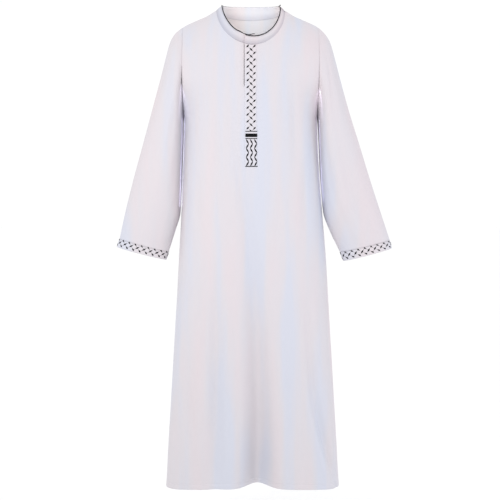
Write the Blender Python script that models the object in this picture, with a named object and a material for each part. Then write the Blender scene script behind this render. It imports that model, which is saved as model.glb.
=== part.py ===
# Thobe robe, hollow and worn: a long white robe with a stand collar, set-in sleeves,
# an embroidered strip over the neck slit and an embroidered band at each wrist.
# Metres, +Z up, the front towards -Y. Left and right are the wearer's own.
# The origin is the middle of the neck, at the height where the shoulders meet it.
import math
from functools import lru_cache

import bmesh
import bpy
from mathutils import Vector

# Cloth thickness, and the gap left between pieces that are sewn together
PANEL_CLOTH = 0.0015
BAND_CLOTH = 0.0020
STRIP_CLOTH = 0.0010
SEAM_GAP = 0.0003

# Heights and half widths of the body
UNDERARM_Z = -0.300
HEM_Z = -1.392
HEM_SIDE_DIP = 0.010
TIP_X = 0.2005
ARMHOLE_HALF_DEPTH = 0.084
SHOULDER_BEND = {"front": 2.1, "back": 2.0}
ARMHOLE_ROUNDNESS = 0.8
CHEST_FLATNESS = 2.5
ARMHOLE_EDGE_POWER = 8
UNDERARM_BLEND = 0.4
UNDERARM_SHIFT = 0.0018
CREASE_SHIFT = 0.0010

# The back is rounder than the front: its sections mix this plain value with the table's
BACK_SQUARE_PLAIN = 2.4
BACK_SQUARE_SHARE = 0.35

# Folds die away towards the side seams and the shoulder, the hem dips towards the sides
SKIRT_FOLD_POWER = 10
CHEST_FOLD_POWER = 6
HEM_DIP_POWER = 3

# Sleeve: rings close up towards the armhole, whose shape fades out along the sleeve
RING_CROWDING = 1.25
ARMHOLE_FADE = 0.22
UNDER_START = 0.2

# Neck hole: its corners lie on the shoulder line
NECK_X = 0.100
NECK_FRONT_Z = -0.094
NECK_BACK_Z = -0.0125
NECK_SKEW = 0.006

# Stand collar, piping and the overlap of the collar's ends
COLLAR_TOP_X = 0.083
COLLAR_TOP_SIDE_Z = 0.0255
COLLAR_TOP_FRONT_Z = -0.0695
COLLAR_TOP_BACK_Z = 0.0270
COLLAR_TOP_SKEW = 0.008
COLLAR_LEAN = 0.88
COLLAR_LIFT = 0.0013
COLLAR_OVER_ANGLE = -0.300
COLLAR_UNDER_ANGLE = 0.045
COLLAR_LAP_SHIFT = 0.0017
COLLAR_LAP_HOLD = 0.4
COLLAR_LAP_FADE = 0.45
COLLAR_TIP_RISE = 0.006
COLLAR_TIP_SPAN = 0.30
COLLAR_TANGENT_STEP = 0.02
PIPING_RADIUS = 0.0014
PIPING_SINK = 0.0012
PIPING_TURN_SPAN = 0.30
PIPING_CLEAR_ANGLE = 0.08

# Neck slit under the strip, and the strip itself
SLIT_X = -0.008
SLIT_HALF_WIDTH = 0.0006
SLIT_END_Z = -0.2165
SLIT_END_SLACK = 0.010
STRIP_LEFT_X = -0.0194
STRIP_RIGHT_X = 0.0178
STRIP_MARK_X = 0.005
STRIP_END_Z = -0.4446

# How finely the pieces are divided
UPPER_ROWS = 9
LOWER_ROWS = 22
SIDE_COLUMNS = 15
NECK_COLUMNS = 8
SLEEVE_RINGS = 16
COLLAR_COLUMNS = 60
COLLAR_ROWS = 3
PIPING_SIDES = 6
STRIP_ROWS = 3
RING_STEPS = 120
HALVINGS = 50
SHARP_ANGLE = 50
ROW_CROWDING_POWER = 6

# Shoulder line in the front view, from the middle out: the first rows are inside the neck
SHOULDER_LINE = (
    {"x": 0.000, "z": 0.0340},
    {"x": 0.050, "z": 0.0310},
    {"x": 0.086, "z": 0.0200},
    {"x": 0.100, "z": 0.0115},
    {"x": 0.114, "z": 0.0030},
    {"x": 0.129, "z": -0.0060},
    {"x": 0.150, "z": -0.0150},
    {"x": 0.171, "z": -0.0240},
    {"x": 0.192, "z": -0.0335},
    {"x": 0.205, "z": -0.0420},
)

# Level sections of the body from the underarm to the hem. A higher square value
# brings the section's corners further out.
BODY_SECTIONS = (
    {"z": -1.410, "half": 0.2590, "front": 0.136, "back": 0.153, "square": 6.0, "middle": 0.0045},
    {"z": -1.285, "half": 0.2523, "front": 0.134, "back": 0.147, "square": 5.2, "middle": 0.0045},
    {"z": -1.139, "half": 0.2439, "front": 0.131, "back": 0.141, "square": 4.4, "middle": 0.0045},
    {"z": -0.991, "half": 0.2350, "front": 0.128, "back": 0.134, "square": 3.8, "middle": 0.0045},
    {"z": -0.842, "half": 0.2260, "front": 0.126, "back": 0.126, "square": 3.3, "middle": 0.0045},
    {"z": -0.724, "half": 0.2195, "front": 0.125, "back": 0.120, "square": 3.0, "middle": 0.0042},
    {"z": -0.587, "half": 0.2095, "front": 0.124, "back": 0.113, "square": 2.7, "middle": 0.0025},
    {"z": -0.486, "half": 0.2035, "front": 0.124, "back": 0.110, "square": 2.6, "middle": 0.0000},
    {"z": -0.370, "half": 0.1985, "front": 0.123, "back": 0.110, "square": 2.5, "middle": -0.0012},
    {"z": -0.300, "half": 0.1970, "front": 0.122, "back": 0.112, "square": 2.4, "middle": -0.0015},
    {"z": 0.034, "half": 0.1970, "front": 0.122, "back": 0.112, "square": 2.4, "middle": -0.0015},
)

# Folds that hang down the front and the back. "at" is how far along the cloth, from the
# panel's middle towards +X, the fold lies at that height. Depth is inwards.
FRONT_FOLDS = {
    "middle": (
        {"z": -1.410, "at": 0.014, "width": 0.043, "depth": 0.080},
        {"z": -1.200, "at": 0.018, "width": 0.037, "depth": 0.052},
        {"z": -1.000, "at": 0.013, "width": 0.031, "depth": 0.032},
        {"z": -0.850, "at": 0.006, "width": 0.027, "depth": 0.020},
        {"z": -0.670, "at": -0.006, "width": 0.023, "depth": 0.011},
        {"z": -0.500, "at": -0.028, "width": 0.018, "depth": 0.006},
        {"z": -0.340, "at": -0.050, "width": 0.015, "depth": 0.004},
        {"z": -0.130, "at": -0.056, "width": 0.013, "depth": 0.000},
    ),
    "right_skirt": (
        {"z": -1.410, "at": -0.108, "width": 0.026, "depth": 0.005},
        {"z": -1.300, "at": -0.108, "width": 0.024, "depth": 0.012},
        {"z": -1.150, "at": -0.108, "width": 0.022, "depth": 0.015},
        {"z": -0.900, "at": -0.107, "width": 0.018, "depth": 0.008},
        {"z": -0.700, "at": -0.108, "width": 0.015, "depth": 0.000},
    ),
    "right_edge": (
        {"z": -1.320, "at": -0.180, "width": 0.014, "depth": 0.000},
        {"z": -1.140, "at": -0.183, "width": 0.015, "depth": 0.006},
        {"z": -0.960, "at": -0.186, "width": 0.013, "depth": 0.000},
    ),
    "left_skirt": (
        {"z": -1.400, "at": 0.262, "width": 0.014, "depth": 0.004},
        {"z": -1.310, "at": 0.232, "width": 0.015, "depth": 0.013},
        {"z": -1.210, "at": 0.203, "width": 0.016, "depth": 0.015},
        {"z": -1.110, "at": 0.182, "width": 0.015, "depth": 0.012},
        {"z": -0.980, "at": 0.170, "width": 0.014, "depth": 0.008},
        {"z": -0.800, "at": 0.156, "width": 0.013, "depth": 0.000},
    ),
    "right_chest": (
        {"z": -0.620, "at": -0.100, "width": 0.014, "depth": 0.000},
        {"z": -0.420, "at": -0.101, "width": 0.013, "depth": 0.004},
        {"z": -0.200, "at": -0.100, "width": 0.012, "depth": 0.000},
    ),
    "left_chest": (
        {"z": -0.480, "at": 0.134, "width": 0.014, "depth": 0.000},
        {"z": -0.320, "at": 0.128, "width": 0.013, "depth": 0.004},
        {"z": -0.150, "at": 0.112, "width": 0.011, "depth": 0.000},
    ),
}
BACK_FOLDS = {
    "middle": (
        {"z": -1.410, "at": -0.010, "width": 0.042, "depth": 0.052},
        {"z": -1.100, "at": -0.006, "width": 0.034, "depth": 0.032},
        {"z": -0.800, "at": 0.002, "width": 0.026, "depth": 0.016},
        {"z": -0.500, "at": 0.008, "width": 0.020, "depth": 0.006},
        {"z": -0.260, "at": 0.010, "width": 0.016, "depth": 0.000},
    ),
    "right_skirt": (
        {"z": -1.410, "at": -0.172, "width": 0.034, "depth": 0.026},
        {"z": -1.150, "at": -0.160, "width": 0.028, "depth": 0.018},
        {"z": -0.850, "at": -0.142, "width": 0.022, "depth": 0.008},
        {"z": -0.600, "at": -0.128, "width": 0.018, "depth": 0.000},
    ),
    "left_skirt": (
        {"z": -1.410, "at": 0.158, "width": 0.030, "depth": 0.022},
        {"z": -1.200, "at": 0.150, "width": 0.026, "depth": 0.018},
        {"z": -0.950, "at": 0.138, "width": 0.021, "depth": 0.010},
        {"z": -0.700, "at": 0.126, "width": 0.017, "depth": 0.000},
    ),
}

# Rings of each sleeve from the armhole to the wrist band: the outer and the inner point,
# half of the depth from front to back, and where the ring's middle lies in depth.
RIGHT_SLEEVE = (
    {"along": 0.00, "ox": 0.2005, "oz": -0.0400, "ix": 0.1995, "iz": -0.3000, "half": 0.0840, "my": 0.000},
    {"along": 0.05, "ox": 0.2205, "oz": -0.0555, "ix": 0.2014, "iz": -0.3150, "half": 0.0845, "my": 0.000},
    {"along": 0.10, "ox": 0.2368, "oz": -0.0800, "ix": 0.2016, "iz": -0.3330, "half": 0.0855, "my": 0.000},
    {"along": 0.18, "ox": 0.2508, "oz": -0.1250, "ix": 0.2020, "iz": -0.3650, "half": 0.0870, "my": 0.000},
    {"along": 0.30, "ox": 0.2682, "oz": -0.1910, "ix": 0.2034, "iz": -0.4100, "half": 0.0860, "my": -0.002},
    {"along": 0.45, "ox": 0.2925, "oz": -0.2800, "ix": 0.2052, "iz": -0.4650, "half": 0.0810, "my": -0.006},
    {"along": 0.60, "ox": 0.3208, "oz": -0.3830, "ix": 0.2075, "iz": -0.5250, "half": 0.0720, "my": -0.011},
    {"along": 0.75, "ox": 0.3480, "oz": -0.4820, "ix": 0.2108, "iz": -0.5850, "half": 0.0600, "my": -0.016},
    {"along": 0.88, "ox": 0.3700, "oz": -0.5700, "ix": 0.2265, "iz": -0.6400, "half": 0.0470, "my": -0.020},
    {"along": 1.00, "ox": 0.3910, "oz": -0.6625, "ix": 0.2455, "iz": -0.7005, "half": 0.0340, "my": -0.024},
)
LEFT_SLEEVE = (
    {"along": 0.00, "ox": 0.2005, "oz": -0.0400, "ix": 0.1995, "iz": -0.3000, "half": 0.0840, "my": 0.000},
    {"along": 0.05, "ox": 0.2180, "oz": -0.0570, "ix": 0.2010, "iz": -0.3150, "half": 0.0845, "my": 0.000},
    {"along": 0.10, "ox": 0.2335, "oz": -0.0810, "ix": 0.2012, "iz": -0.3330, "half": 0.0855, "my": 0.000},
    {"along": 0.18, "ox": 0.2465, "oz": -0.1250, "ix": 0.2016, "iz": -0.3650, "half": 0.0870, "my": 0.000},
    {"along": 0.30, "ox": 0.2640, "oz": -0.1910, "ix": 0.2032, "iz": -0.4100, "half": 0.0860, "my": -0.002},
    {"along": 0.45, "ox": 0.2890, "oz": -0.2800, "ix": 0.2056, "iz": -0.4650, "half": 0.0810, "my": -0.006},
    {"along": 0.60, "ox": 0.3215, "oz": -0.3830, "ix": 0.2100, "iz": -0.5250, "half": 0.0720, "my": -0.011},
    {"along": 0.75, "ox": 0.3520, "oz": -0.4820, "ix": 0.2160, "iz": -0.5850, "half": 0.0600, "my": -0.016},
    {"along": 0.88, "ox": 0.3805, "oz": -0.5700, "ix": 0.2360, "iz": -0.6400, "half": 0.0470, "my": -0.020},
    {"along": 1.00, "ox": 0.4130, "oz": -0.6665, "ix": 0.2653, "iz": -0.7010, "half": 0.0340, "my": -0.024},
)

# Lower end of each wrist band
RIGHT_CUFF_END = {"ox": 0.3988, "oz": -0.6850, "ix": 0.2531, "iz": -0.7228, "half": 0.033, "my": -0.025}
LEFT_CUFF_END = {"ox": 0.4186, "oz": -0.6890, "ix": 0.2760, "iz": -0.7265, "half": 0.033, "my": -0.025}

# One long soft fold down the front of the left sleeve. "turn" is in degrees round the
# sleeve from its outer edge to the front, and so is the width.
LEFT_SLEEVE_FOLD = (
    {"along": 0.15, "turn": 70.0, "width": 14.0, "depth": 0.000},
    {"along": 0.35, "turn": 82.0, "width": 15.0, "depth": 0.005},
    {"along": 0.70, "turn": 80.0, "width": 16.0, "depth": 0.007},
    {"along": 1.00, "turn": 66.0, "width": 16.0, "depth": 0.003},
)

COTTON_WHITE = (0.79, 0.77, 0.81, 1.0)
THREAD_BLACK = (0.02, 0.02, 0.025, 1.0)
CLOTH_ROUGHNESS = 0.85


def read(table, key, name, at):
    """Smooth value of one column of a table at one place along its key column."""
    rows = sorted(table, key=lambda row: row[key])
    keys = [row[key] for row in rows]
    values = [row[name] for row in rows]
    if at <= keys[0]:
        return values[0]
    if at >= keys[-1]:
        return values[-1]
    i = next(n for n in range(len(keys) - 1) if keys[n] <= at <= keys[n + 1])
    step = keys[i + 1] - keys[i]
    rise = (values[i + 1] - values[i]) / step
    before = rise if i == 0 else (values[i] - values[i - 1]) / (keys[i] - keys[i - 1])
    after = rise if i + 2 == len(keys) else (values[i + 2] - values[i + 1]) / (keys[i + 2] - keys[i + 1])
    start = flat_or_mean(before, rise)
    end = flat_or_mean(rise, after)
    t = (at - keys[i]) / step
    return (
        values[i] * (1 + 2 * t) * (1 - t) ** 2
        + start * step * t * (1 - t) ** 2
        + values[i + 1] * t * t * (3 - 2 * t)
        + end * step * t * t * (t - 1)
    )


def flat_or_mean(one, other):
    """Slope at a table row: level at a peak, so that the curve never overshoots."""
    return 0.0 if one * other <= 0 else 2 * one * other / (one + other)


def smooth(t):
    t = min(max(t, 0.0), 1.0)
    return t * t * (3 - 2 * t)


def mix(one, other, t):
    return one + (other - one) * t


@lru_cache(maxsize=None)
def quarter_ring(z, side):
    """Quarter of a level section, from the panel's middle to the side seam."""
    half = read(BODY_SECTIONS, "z", "half", z)
    deep = read(BODY_SECTIONS, "z", side, z)
    square = read(BODY_SECTIONS, "z", "square", z)
    if side == "back":
        square = mix(BACK_SQUARE_PLAIN, square, BACK_SQUARE_SHARE)
    points = []
    run = 0.0
    for n in range(RING_STEPS + 1):
        angle = 0.5 * math.pi * n / RING_STEPS
        scale = (math.sin(angle) ** square + math.cos(angle) ** square) ** (-1 / square)
        point = (half * scale * math.sin(angle), deep * scale * math.cos(angle))
        if points:
            run += math.dist(point, points[-1][1:])
        points.append((run, *point))
    return tuple(points)


def on_ring(z, side, part):
    """Distance along the cloth, width and depth at a share of the way to the side seam."""
    points = quarter_ring(z, side)
    run = abs(part) * points[-1][0]
    n = 1
    while n < len(points) - 1 and points[n][0] < run:
        n += 1
    low, high = points[n - 1], points[n]
    t = (run - low[0]) / (high[0] - low[0])
    x = mix(low[1], high[1], t)
    y = mix(low[2], high[2], t)
    tangent = Vector((high[1] - low[1], high[2] - low[2])).normalized()
    return run, x, y, Vector((-tangent.y, tangent.x))


def fold_depth(folds, at, z):
    total = 0.0
    for rows in folds.values():
        heights = [row["z"] for row in rows]
        if min(heights) <= z <= max(heights):
            away = (at - read(rows, "z", "at", z)) / read(rows, "z", "width", z)
            total += read(rows, "z", "depth", z) * math.exp(-away * away)
    return total


def lower_point(side, part, z):
    """A point of the body's middle surface between the underarm and the hem."""
    face = -1.0 if side == "front" else 1.0
    hand = -1.0 if part < 0 else 1.0
    run, x, y, outward = on_ring(z, side, part)
    folds = FRONT_FOLDS if side == "front" else BACK_FOLDS
    depth = fold_depth(folds, hand * run, z) * (1 - abs(part) ** SKIRT_FOLD_POWER)
    x -= outward.x * depth
    y -= outward.y * depth
    middle = read(BODY_SECTIONS, "z", "middle", z)
    return Vector((middle + hand * x, face * (y + 0.5 * SEAM_GAP), z))


def shoulder_z(x):
    return read(SHOULDER_LINE, "x", "z", abs(x))


def column_x(side, part, climb):
    """Distance from the middle of a column that climbs from the underarm to the shoulder."""
    start = on_ring(UNDERARM_Z, side, part)[1]
    full = quarter_ring(UNDERARM_Z, side)[-1][0] / TIP_X
    share = abs(part)
    end = TIP_X * (full * share - (full - 1) * share ** 2)
    return mix(start, end, smooth(climb))


def armhole_depth(climb):
    """How far the armhole's edge lies from the side seam at one climb."""
    return ARMHOLE_HALF_DEPTH * max(math.sin(math.pi * min(climb, 1.0)), 0.0) ** ARMHOLE_ROUNDNESS


def upper_point(side, part, climb):
    """A point of the body's middle surface above the underarm. Climb 1 is the shoulder line."""
    face = -1.0 if side == "front" else 1.0
    hand = -1.0 if part < 0 else 1.0
    share = abs(part)
    bend = SHOULDER_BEND[side]
    deep = on_ring(UNDERARM_Z, side, part)[2]
    middle_deep = on_ring(UNDERARM_Z, side, 0.0)[2]
    x = column_x(side, part, climb)
    z = UNDERARM_Z + (shoulder_z(x) - UNDERARM_Z) * climb
    over = max(1 - climb ** bend, 0.0) ** (1 / bend)
    armhole = armhole_depth(climb)
    hollow = deep * over + armhole * share ** ARMHOLE_EDGE_POWER
    flat = mix(middle_deep * over, armhole, share ** CHEST_FLATNESS)
    y = mix(hollow, flat, smooth(climb / UNDERARM_BLEND))
    folds = FRONT_FOLDS if side == "front" else BACK_FOLDS
    keep = (1 - share ** CHEST_FOLD_POWER) * (1 - climb ** CHEST_FOLD_POWER)
    y -= fold_depth(folds, hand * x, z) * keep
    middle = read(BODY_SECTIONS, "z", "middle", z)
    return Vector((middle + hand * x, face * (y + 0.5 * SEAM_GAP), z))


def neck_z(side, x):
    """Height of the neck hole's edge at a distance from the middle."""
    skew = NECK_SKEW if side == "front" else 0.0
    reach = math.hypot(NECK_X, skew)
    angle = math.asin(max(-1.0, min(1.0, x / reach))) - math.atan2(skew, NECK_X)
    middle_z = NECK_FRONT_Z if side == "front" else NECK_BACK_Z
    return mix(shoulder_z(NECK_X), middle_z, max(math.cos(angle), 0.0))


def neck_climb(side, part):
    """How far a column climbs before the neck hole cuts it: 1 on the shoulder."""
    hand = -1.0 if part < 0 else 1.0
    if column_x(side, part, 1.0) >= NECK_X - 1e-6:
        return 1.0
    low, high = 0.0, 1.0
    for _ in range(HALVINGS):
        climb = 0.5 * (low + high)
        x = column_x(side, part, climb)
        z = UNDERARM_Z + (shoulder_z(x) - UNDERARM_Z) * climb
        if abs(x) < NECK_X and z > neck_z(side, hand * x):
            high = climb
        else:
            low = climb
    return low


def share_of(side, x, climb):
    """Share of the way to the side at which a column has this width at this climb."""
    low, high = 0.0, 1.0
    for _ in range(HALVINGS):
        share = 0.5 * (low + high)
        if column_x(side, share, climb) < abs(x):
            low = share
        else:
            high = share
    return math.copysign(high, x)


def panel_columns(side):
    """Columns of a panel from the right side to the left one: signed shares of the way to
    the side, below the underarm and at the top edge."""
    low = [n / SIDE_COLUMNS for n in range(1, SIDE_COLUMNS + 1)]
    neck_angles = [0.5 * math.pi * n / NECK_COLUMNS for n in range(1, NECK_COLUMNS + 1)]
    top = [share_of(side, NECK_X * math.sin(angle), 1.0) for angle in neck_angles]
    outer = SIDE_COLUMNS - NECK_COLUMNS
    top += [mix(top[-1], 1.0, n / outer) for n in range(1, outer + 1)]
    pairs = list(zip(low, top))
    middle = [(0.0, 0.0)]
    if side == "front":
        pairs = pairs[1:]
        slit_edges = (SLIT_X - SLIT_HALF_WIDTH, SLIT_X + SLIT_HALF_WIDTH)
        marks = (STRIP_LEFT_X, *slit_edges, STRIP_MARK_X, STRIP_RIGHT_X)
        shares = [share_of(side, mark, 0.0) for mark in marks]
        middle = [(share, share) for share in shares]
    return [(-one, -other) for one, other in reversed(pairs)] + middle + pairs


def climb_of_row(part, row):
    """Rows close up towards the shoulder; along the armhole they close up at both ends."""
    angle = 0.5 * math.pi * row / UPPER_ROWS
    inside = math.sin(angle)
    armhole = 0.5 - 0.5 * math.cos(2 * angle)
    return mix(inside, armhole, abs(part) ** ROW_CROWDING_POWER)


def lower_heights():
    """Heights of the rows from the hem up to just below the underarm."""
    below = LOWER_ROWS - STRIP_ROWS
    heights = [mix(HEM_Z, STRIP_END_Z, n / below) for n in range(below)]
    heights += [mix(STRIP_END_Z, UNDERARM_Z, n / STRIP_ROWS) for n in range(STRIP_ROWS)]
    return heights


def panel_rows(side):
    """Middle surface of a body panel as rows of points from the hem to the top edge."""
    columns = panel_columns(side)
    rows = []
    for height in lower_heights():
        row = []
        for part, _ in columns:
            low = max((STRIP_END_Z - height) / (STRIP_END_Z - HEM_Z), 0.0)
            dip = HEM_SIDE_DIP * abs(part) ** HEM_DIP_POWER * low
            row.append(lower_point(side, part, height - dip))
        rows.append(row)
    for n in range(UPPER_ROWS + 1):
        row = []
        for low, top in columns:
            part = mix(low, top, smooth(n / UPPER_ROWS))
            row.append(upper_point(side, part, climb_of_row(part, n) * neck_climb(side, part)))
        rows.append(row)
    return rows


def sheet_normals(rows, wrap):
    """Normal of the middle surface at each point, columns then rows."""
    last = len(rows) - 1
    wide = len(rows[0])
    normals = []
    for r, row in enumerate(rows):
        line = []
        for c in range(wide):
            left = row[(c - 1) % wide] if wrap else row[max(c - 1, 0)]
            right = row[(c + 1) % wide] if wrap else row[min(c + 1, wide - 1)]
            across = right - left
            up = rows[min(r + 1, last)][c] - rows[max(r - 1, 0)][c]
            line.append(across.cross(up).normalized())
        normals.append(line)
    return normals


def cotton(name, colour):
    material = bpy.data.materials.new(name)
    material.use_nodes = True
    shader = material.node_tree.nodes["Principled BSDF"]
    shader.inputs["Base Color"].default_value = colour
    shader.inputs["Roughness"].default_value = CLOTH_ROUGHNESS
    shader.inputs["Metallic"].default_value = 0.0
    return material


def cloth_wall(name, rows, normals, thickness, colour=COTTON_WHITE, wrap=False, gone=(), outward=1.0):
    """A closed wall round a middle surface, open where the surface is open."""
    shape = bmesh.new()
    wide = len(rows[0])
    outer = []
    inner = []
    for row, line in zip(rows, normals):
        reach = 0.5 * thickness * outward
        outer.append([shape.verts.new(p + n * reach) for p, n in zip(row, line)])
        inner.append([shape.verts.new(p - n * reach) for p, n in zip(row, line)])
    cells = []
    for r in range(len(rows) - 1):
        for c in range(wide if wrap else wide - 1):
            if (r, c) not in gone:
                d = (c + 1) % wide
                cells.append(((r, c), (r, d), (r + 1, d), (r + 1, c)))
    edges = {(a, b) for cell in cells for a, b in zip(cell, cell[1:] + cell[:1])}
    for cell in cells:
        shape.faces.new([outer[r][c] for r, c in cell])
        shape.faces.new([inner[r][c] for r, c in reversed(cell)])
    for a, b in sorted(edges):
        if (b, a) not in edges:
            shape.faces.new((outer[b[0]][b[1]], outer[a[0]][a[1]], inner[a[0]][a[1]], inner[b[0]][b[1]]))
    loose = [vert for vert in shape.verts if not vert.link_faces]
    bmesh.ops.delete(shape, geom=loose, context="VERTS")
    if outward < 0:
        bmesh.ops.reverse_faces(shape, faces=shape.faces)
    return add_object(name, shape, colour)


def add_object(name, shape, colour):
    mesh = bpy.data.meshes.new(name)
    shape.to_mesh(mesh)
    shape.free()
    mesh.shade_smooth()
    mesh.set_sharp_from_angle(angle=math.radians(SHARP_ANGLE))
    mesh.materials.append(cotton(name + "_cloth", colour))
    thing = bpy.data.objects.new(name, mesh)
    bpy.context.scene.collection.objects.link(thing)
    return thing


def body_normals(side, rows):
    """Normals of a panel, level across the side seams and along the shoulder seams."""
    normals = sheet_normals(rows, wrap=False)
    columns = panel_columns(side)
    corner = share_of(side, NECK_X, 1.0) - 1e-6
    shoulder = [c for c, (_, top) in enumerate(columns) if abs(top) >= corner]
    ends = (0, len(columns) - 1)
    for r in range(len(rows)):
        on_seam = shoulder if r == len(rows) - 1 else ends if r <= LOWER_ROWS else ()
        for c in on_seam:
            normal = normals[r][c]
            normals[r][c] = Vector((normal.x, 0.0, normal.z)).normalized()
    return normals


def column_at(x):
    """Number of the front panel's column that runs at this distance from the middle."""
    share = share_of("front", x, 0.0)
    columns = panel_columns("front")
    return min(range(len(columns)), key=lambda c: abs(columns[c][0] - share))


def make_front():
    rows = panel_rows("front")
    normals = body_normals("front", rows)
    edge = column_at(SLIT_X - SLIT_HALF_WIDTH)
    slit = {(r, edge) for r in range(len(rows) - 1) if rows[r][edge].z > SLIT_END_Z - SLIT_END_SLACK}
    cloth_wall("front_panel", rows, normals, PANEL_CLOTH, gone=slit)
    return rows, normals


def make_back():
    rows = panel_rows("back")
    normals = [[-normal for normal in reversed(line)] for line in body_normals("back", rows)]
    cloth_wall("back_panel", [list(reversed(row)) for row in rows], normals, PANEL_CLOTH)


def make_strip(rows, normals):
    """Embroidered strip, made from the front panel's own points moved out."""
    left = column_at(STRIP_LEFT_X)
    right = column_at(STRIP_RIGHT_X) + 1
    first = min(range(LOWER_ROWS), key=lambda r: abs(rows[r][left].z - STRIP_END_Z))
    rise = 0.5 * PANEL_CLOTH + SEAM_GAP + 0.5 * STRIP_CLOTH
    facing = [line[left:right] for line in normals[first:]]
    lifted = [
        [p + n * rise for p, n in zip(row[left:right], line)]
        for row, line in zip(rows[first:], facing)
    ]
    cloth_wall("placket_strip", lifted, facing, STRIP_CLOTH)


def armhole_points(hand):
    """Edge of the armhole from the shoulder tip down the front and up the back."""
    front = [upper_point("front", hand, climb_of_row(1.0, n)) for n in range(UPPER_ROWS, -1, -1)]
    back = [upper_point("back", hand, climb_of_row(1.0, n)) for n in range(1, UPPER_ROWS)]
    return front + back


def sleeve_point(table, hand, along, turn):
    """A point of the sleeve's middle surface. Turn 0 is its outer edge, a quarter turn the front."""
    row = {name: read(table, "along", name, along) for name in table[0]}
    return ring_point(row, hand, turn)


def ring_point(row, hand, turn):
    lean = 0.5 + 0.5 * math.cos(turn)
    x = mix(row["ix"], row["ox"], lean)
    z = mix(row["iz"], row["oz"], lean)
    y = row["my"] - row["half"] * math.sin(turn)
    return Vector((hand * x, y, z))


def sleeve_fold(table, along, turn):
    if not table or along <= table[0]["along"]:
        return 0.0
    away = math.degrees(turn) - read(table, "along", "turn", along)
    away /= read(table, "along", "width", along)
    return read(table, "along", "depth", along) * math.exp(-away * away)


def sleeve_rows(table, folds, hand):
    """Rings of a sleeve: the first one keeps the armhole's shape, a seam's gap away."""
    edge = armhole_points(hand)
    around = len(edge)
    rows = []
    for n in range(SLEEVE_RINGS + 1):
        along = (n / SLEEVE_RINGS) ** RING_CROWDING
        blend = smooth(along / ARMHOLE_FADE)
        ring = []
        for i, start in enumerate(edge):
            turn = 2 * math.pi * i / around
            point = sleeve_point(table, hand, along, turn)
            under = smooth((UNDER_START - math.cos(turn)) / (1 + UNDER_START))
            crease = math.sin(turn) ** 2
            shift = SEAM_GAP + UNDERARM_SHIFT * under + CREASE_SHIFT * crease
            plain = sleeve_point(table, hand, 0.0, turn)
            drift = start + Vector((hand * shift, 0.0, 0.0)) - plain
            point += drift * (1 - blend)
            centre = sleeve_point(table, hand, along, 0.5 * math.pi)
            centre.y = read(table, "along", "my", along)
            inwards = (centre - point).normalized()
            point += inwards * sleeve_fold(folds, along, turn)
            ring.append(point)
        rows.append(ring)
    return rows


def make_sleeve(name, table, folds, hand):
    rows = sleeve_rows(table, folds, hand)
    last = rows[-1]
    before = rows[-2]
    rows[-1] = [mix(p, q, 0.5 * SEAM_GAP / (p - q).length) for p, q in zip(last, before)]
    normals = sheet_normals(rows, wrap=True)
    cloth_wall(name, rows, normals, PANEL_CLOTH, wrap=True, outward=outward_sign(rows, normals))
    return last


def outward_sign(rows, normals):
    """Says whether the normals of a tube point away from its middle."""
    middle = sum(rows[-1], Vector()) / len(rows[-1])
    return 1.0 if (rows[-1][0] - middle).dot(normals[-1][0]) > 0 else -1.0


def make_cuff(name, sleeve_end, end, hand):
    """Wrist band: it goes on where the sleeve ends, with the seam's gap between."""
    around = len(sleeve_end)
    far = [ring_point(end, hand, 2 * math.pi * i / around) for i in range(around)]
    share = 0.5 * SEAM_GAP / (far[0] - sleeve_end[0]).length
    rows = [
        [mix(p, q, share) for p, q in zip(sleeve_end, far)],
        [mix(p, q, 0.5) for p, q in zip(sleeve_end, far)],
        far,
    ]
    normals = sheet_normals(rows, wrap=True)
    cloth_wall(name, rows, normals, BAND_CLOTH, wrap=True, outward=outward_sign(rows, normals))


def neck_edge(angle):
    """A point of the neck hole's edge. Angle 0 is the middle front, a quarter turn +X."""
    side = "front" if math.cos(angle) >= 0 else "back"
    skew = NECK_SKEW * max(math.cos(angle), 0.0)
    x = NECK_X * math.sin(angle) + skew
    z = neck_z(side, x)
    climb = (z - UNDERARM_Z) / (shoulder_z(x) - UNDERARM_Z)
    return upper_point(side, share_of(side, x, climb), climb)


def collar_top(angle):
    """A point of the collar's upper edge above the neck edge at the same angle."""
    forward = max(math.cos(angle), 0.0)
    backward = max(-math.cos(angle), 0.0)
    x = COLLAR_TOP_X * math.sin(angle) + COLLAR_TOP_SKEW * forward
    y = neck_edge(angle).y * COLLAR_LEAN
    z = COLLAR_TOP_SIDE_Z
    z += (COLLAR_TOP_FRONT_Z - COLLAR_TOP_SIDE_Z) * forward
    z += (COLLAR_TOP_BACK_Z - COLLAR_TOP_SIDE_Z) * backward
    return Vector((x, y, z))


def collar_angles():
    start = COLLAR_OVER_ANGLE
    end = 2 * math.pi + COLLAR_UNDER_ANGLE
    return [mix(start, end, n / COLLAR_COLUMNS) for n in range(COLLAR_COLUMNS + 1)]


def lap_shift(angle):
    """How far out the upper end lies, and how far in the lower end, where they overlap."""
    end = 2 * math.pi + COLLAR_UNDER_ANGLE
    over = 1 - smooth((angle - COLLAR_OVER_ANGLE - COLLAR_LAP_HOLD) / COLLAR_LAP_FADE)
    under = 1 - smooth((end - angle - COLLAR_LAP_HOLD) / COLLAR_LAP_FADE)
    return COLLAR_LAP_SHIFT * (over - under)


def along_line(points, n):
    """Direction in which a line of points runs at its point n."""
    return (points[min(n + 1, len(points) - 1)] - points[max(n - 1, 0)]).normalized()


def square_off(direction, ahead):
    """The part of a direction that stands square to the way ahead."""
    return (direction - ahead * direction.dot(ahead)).normalized()


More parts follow.
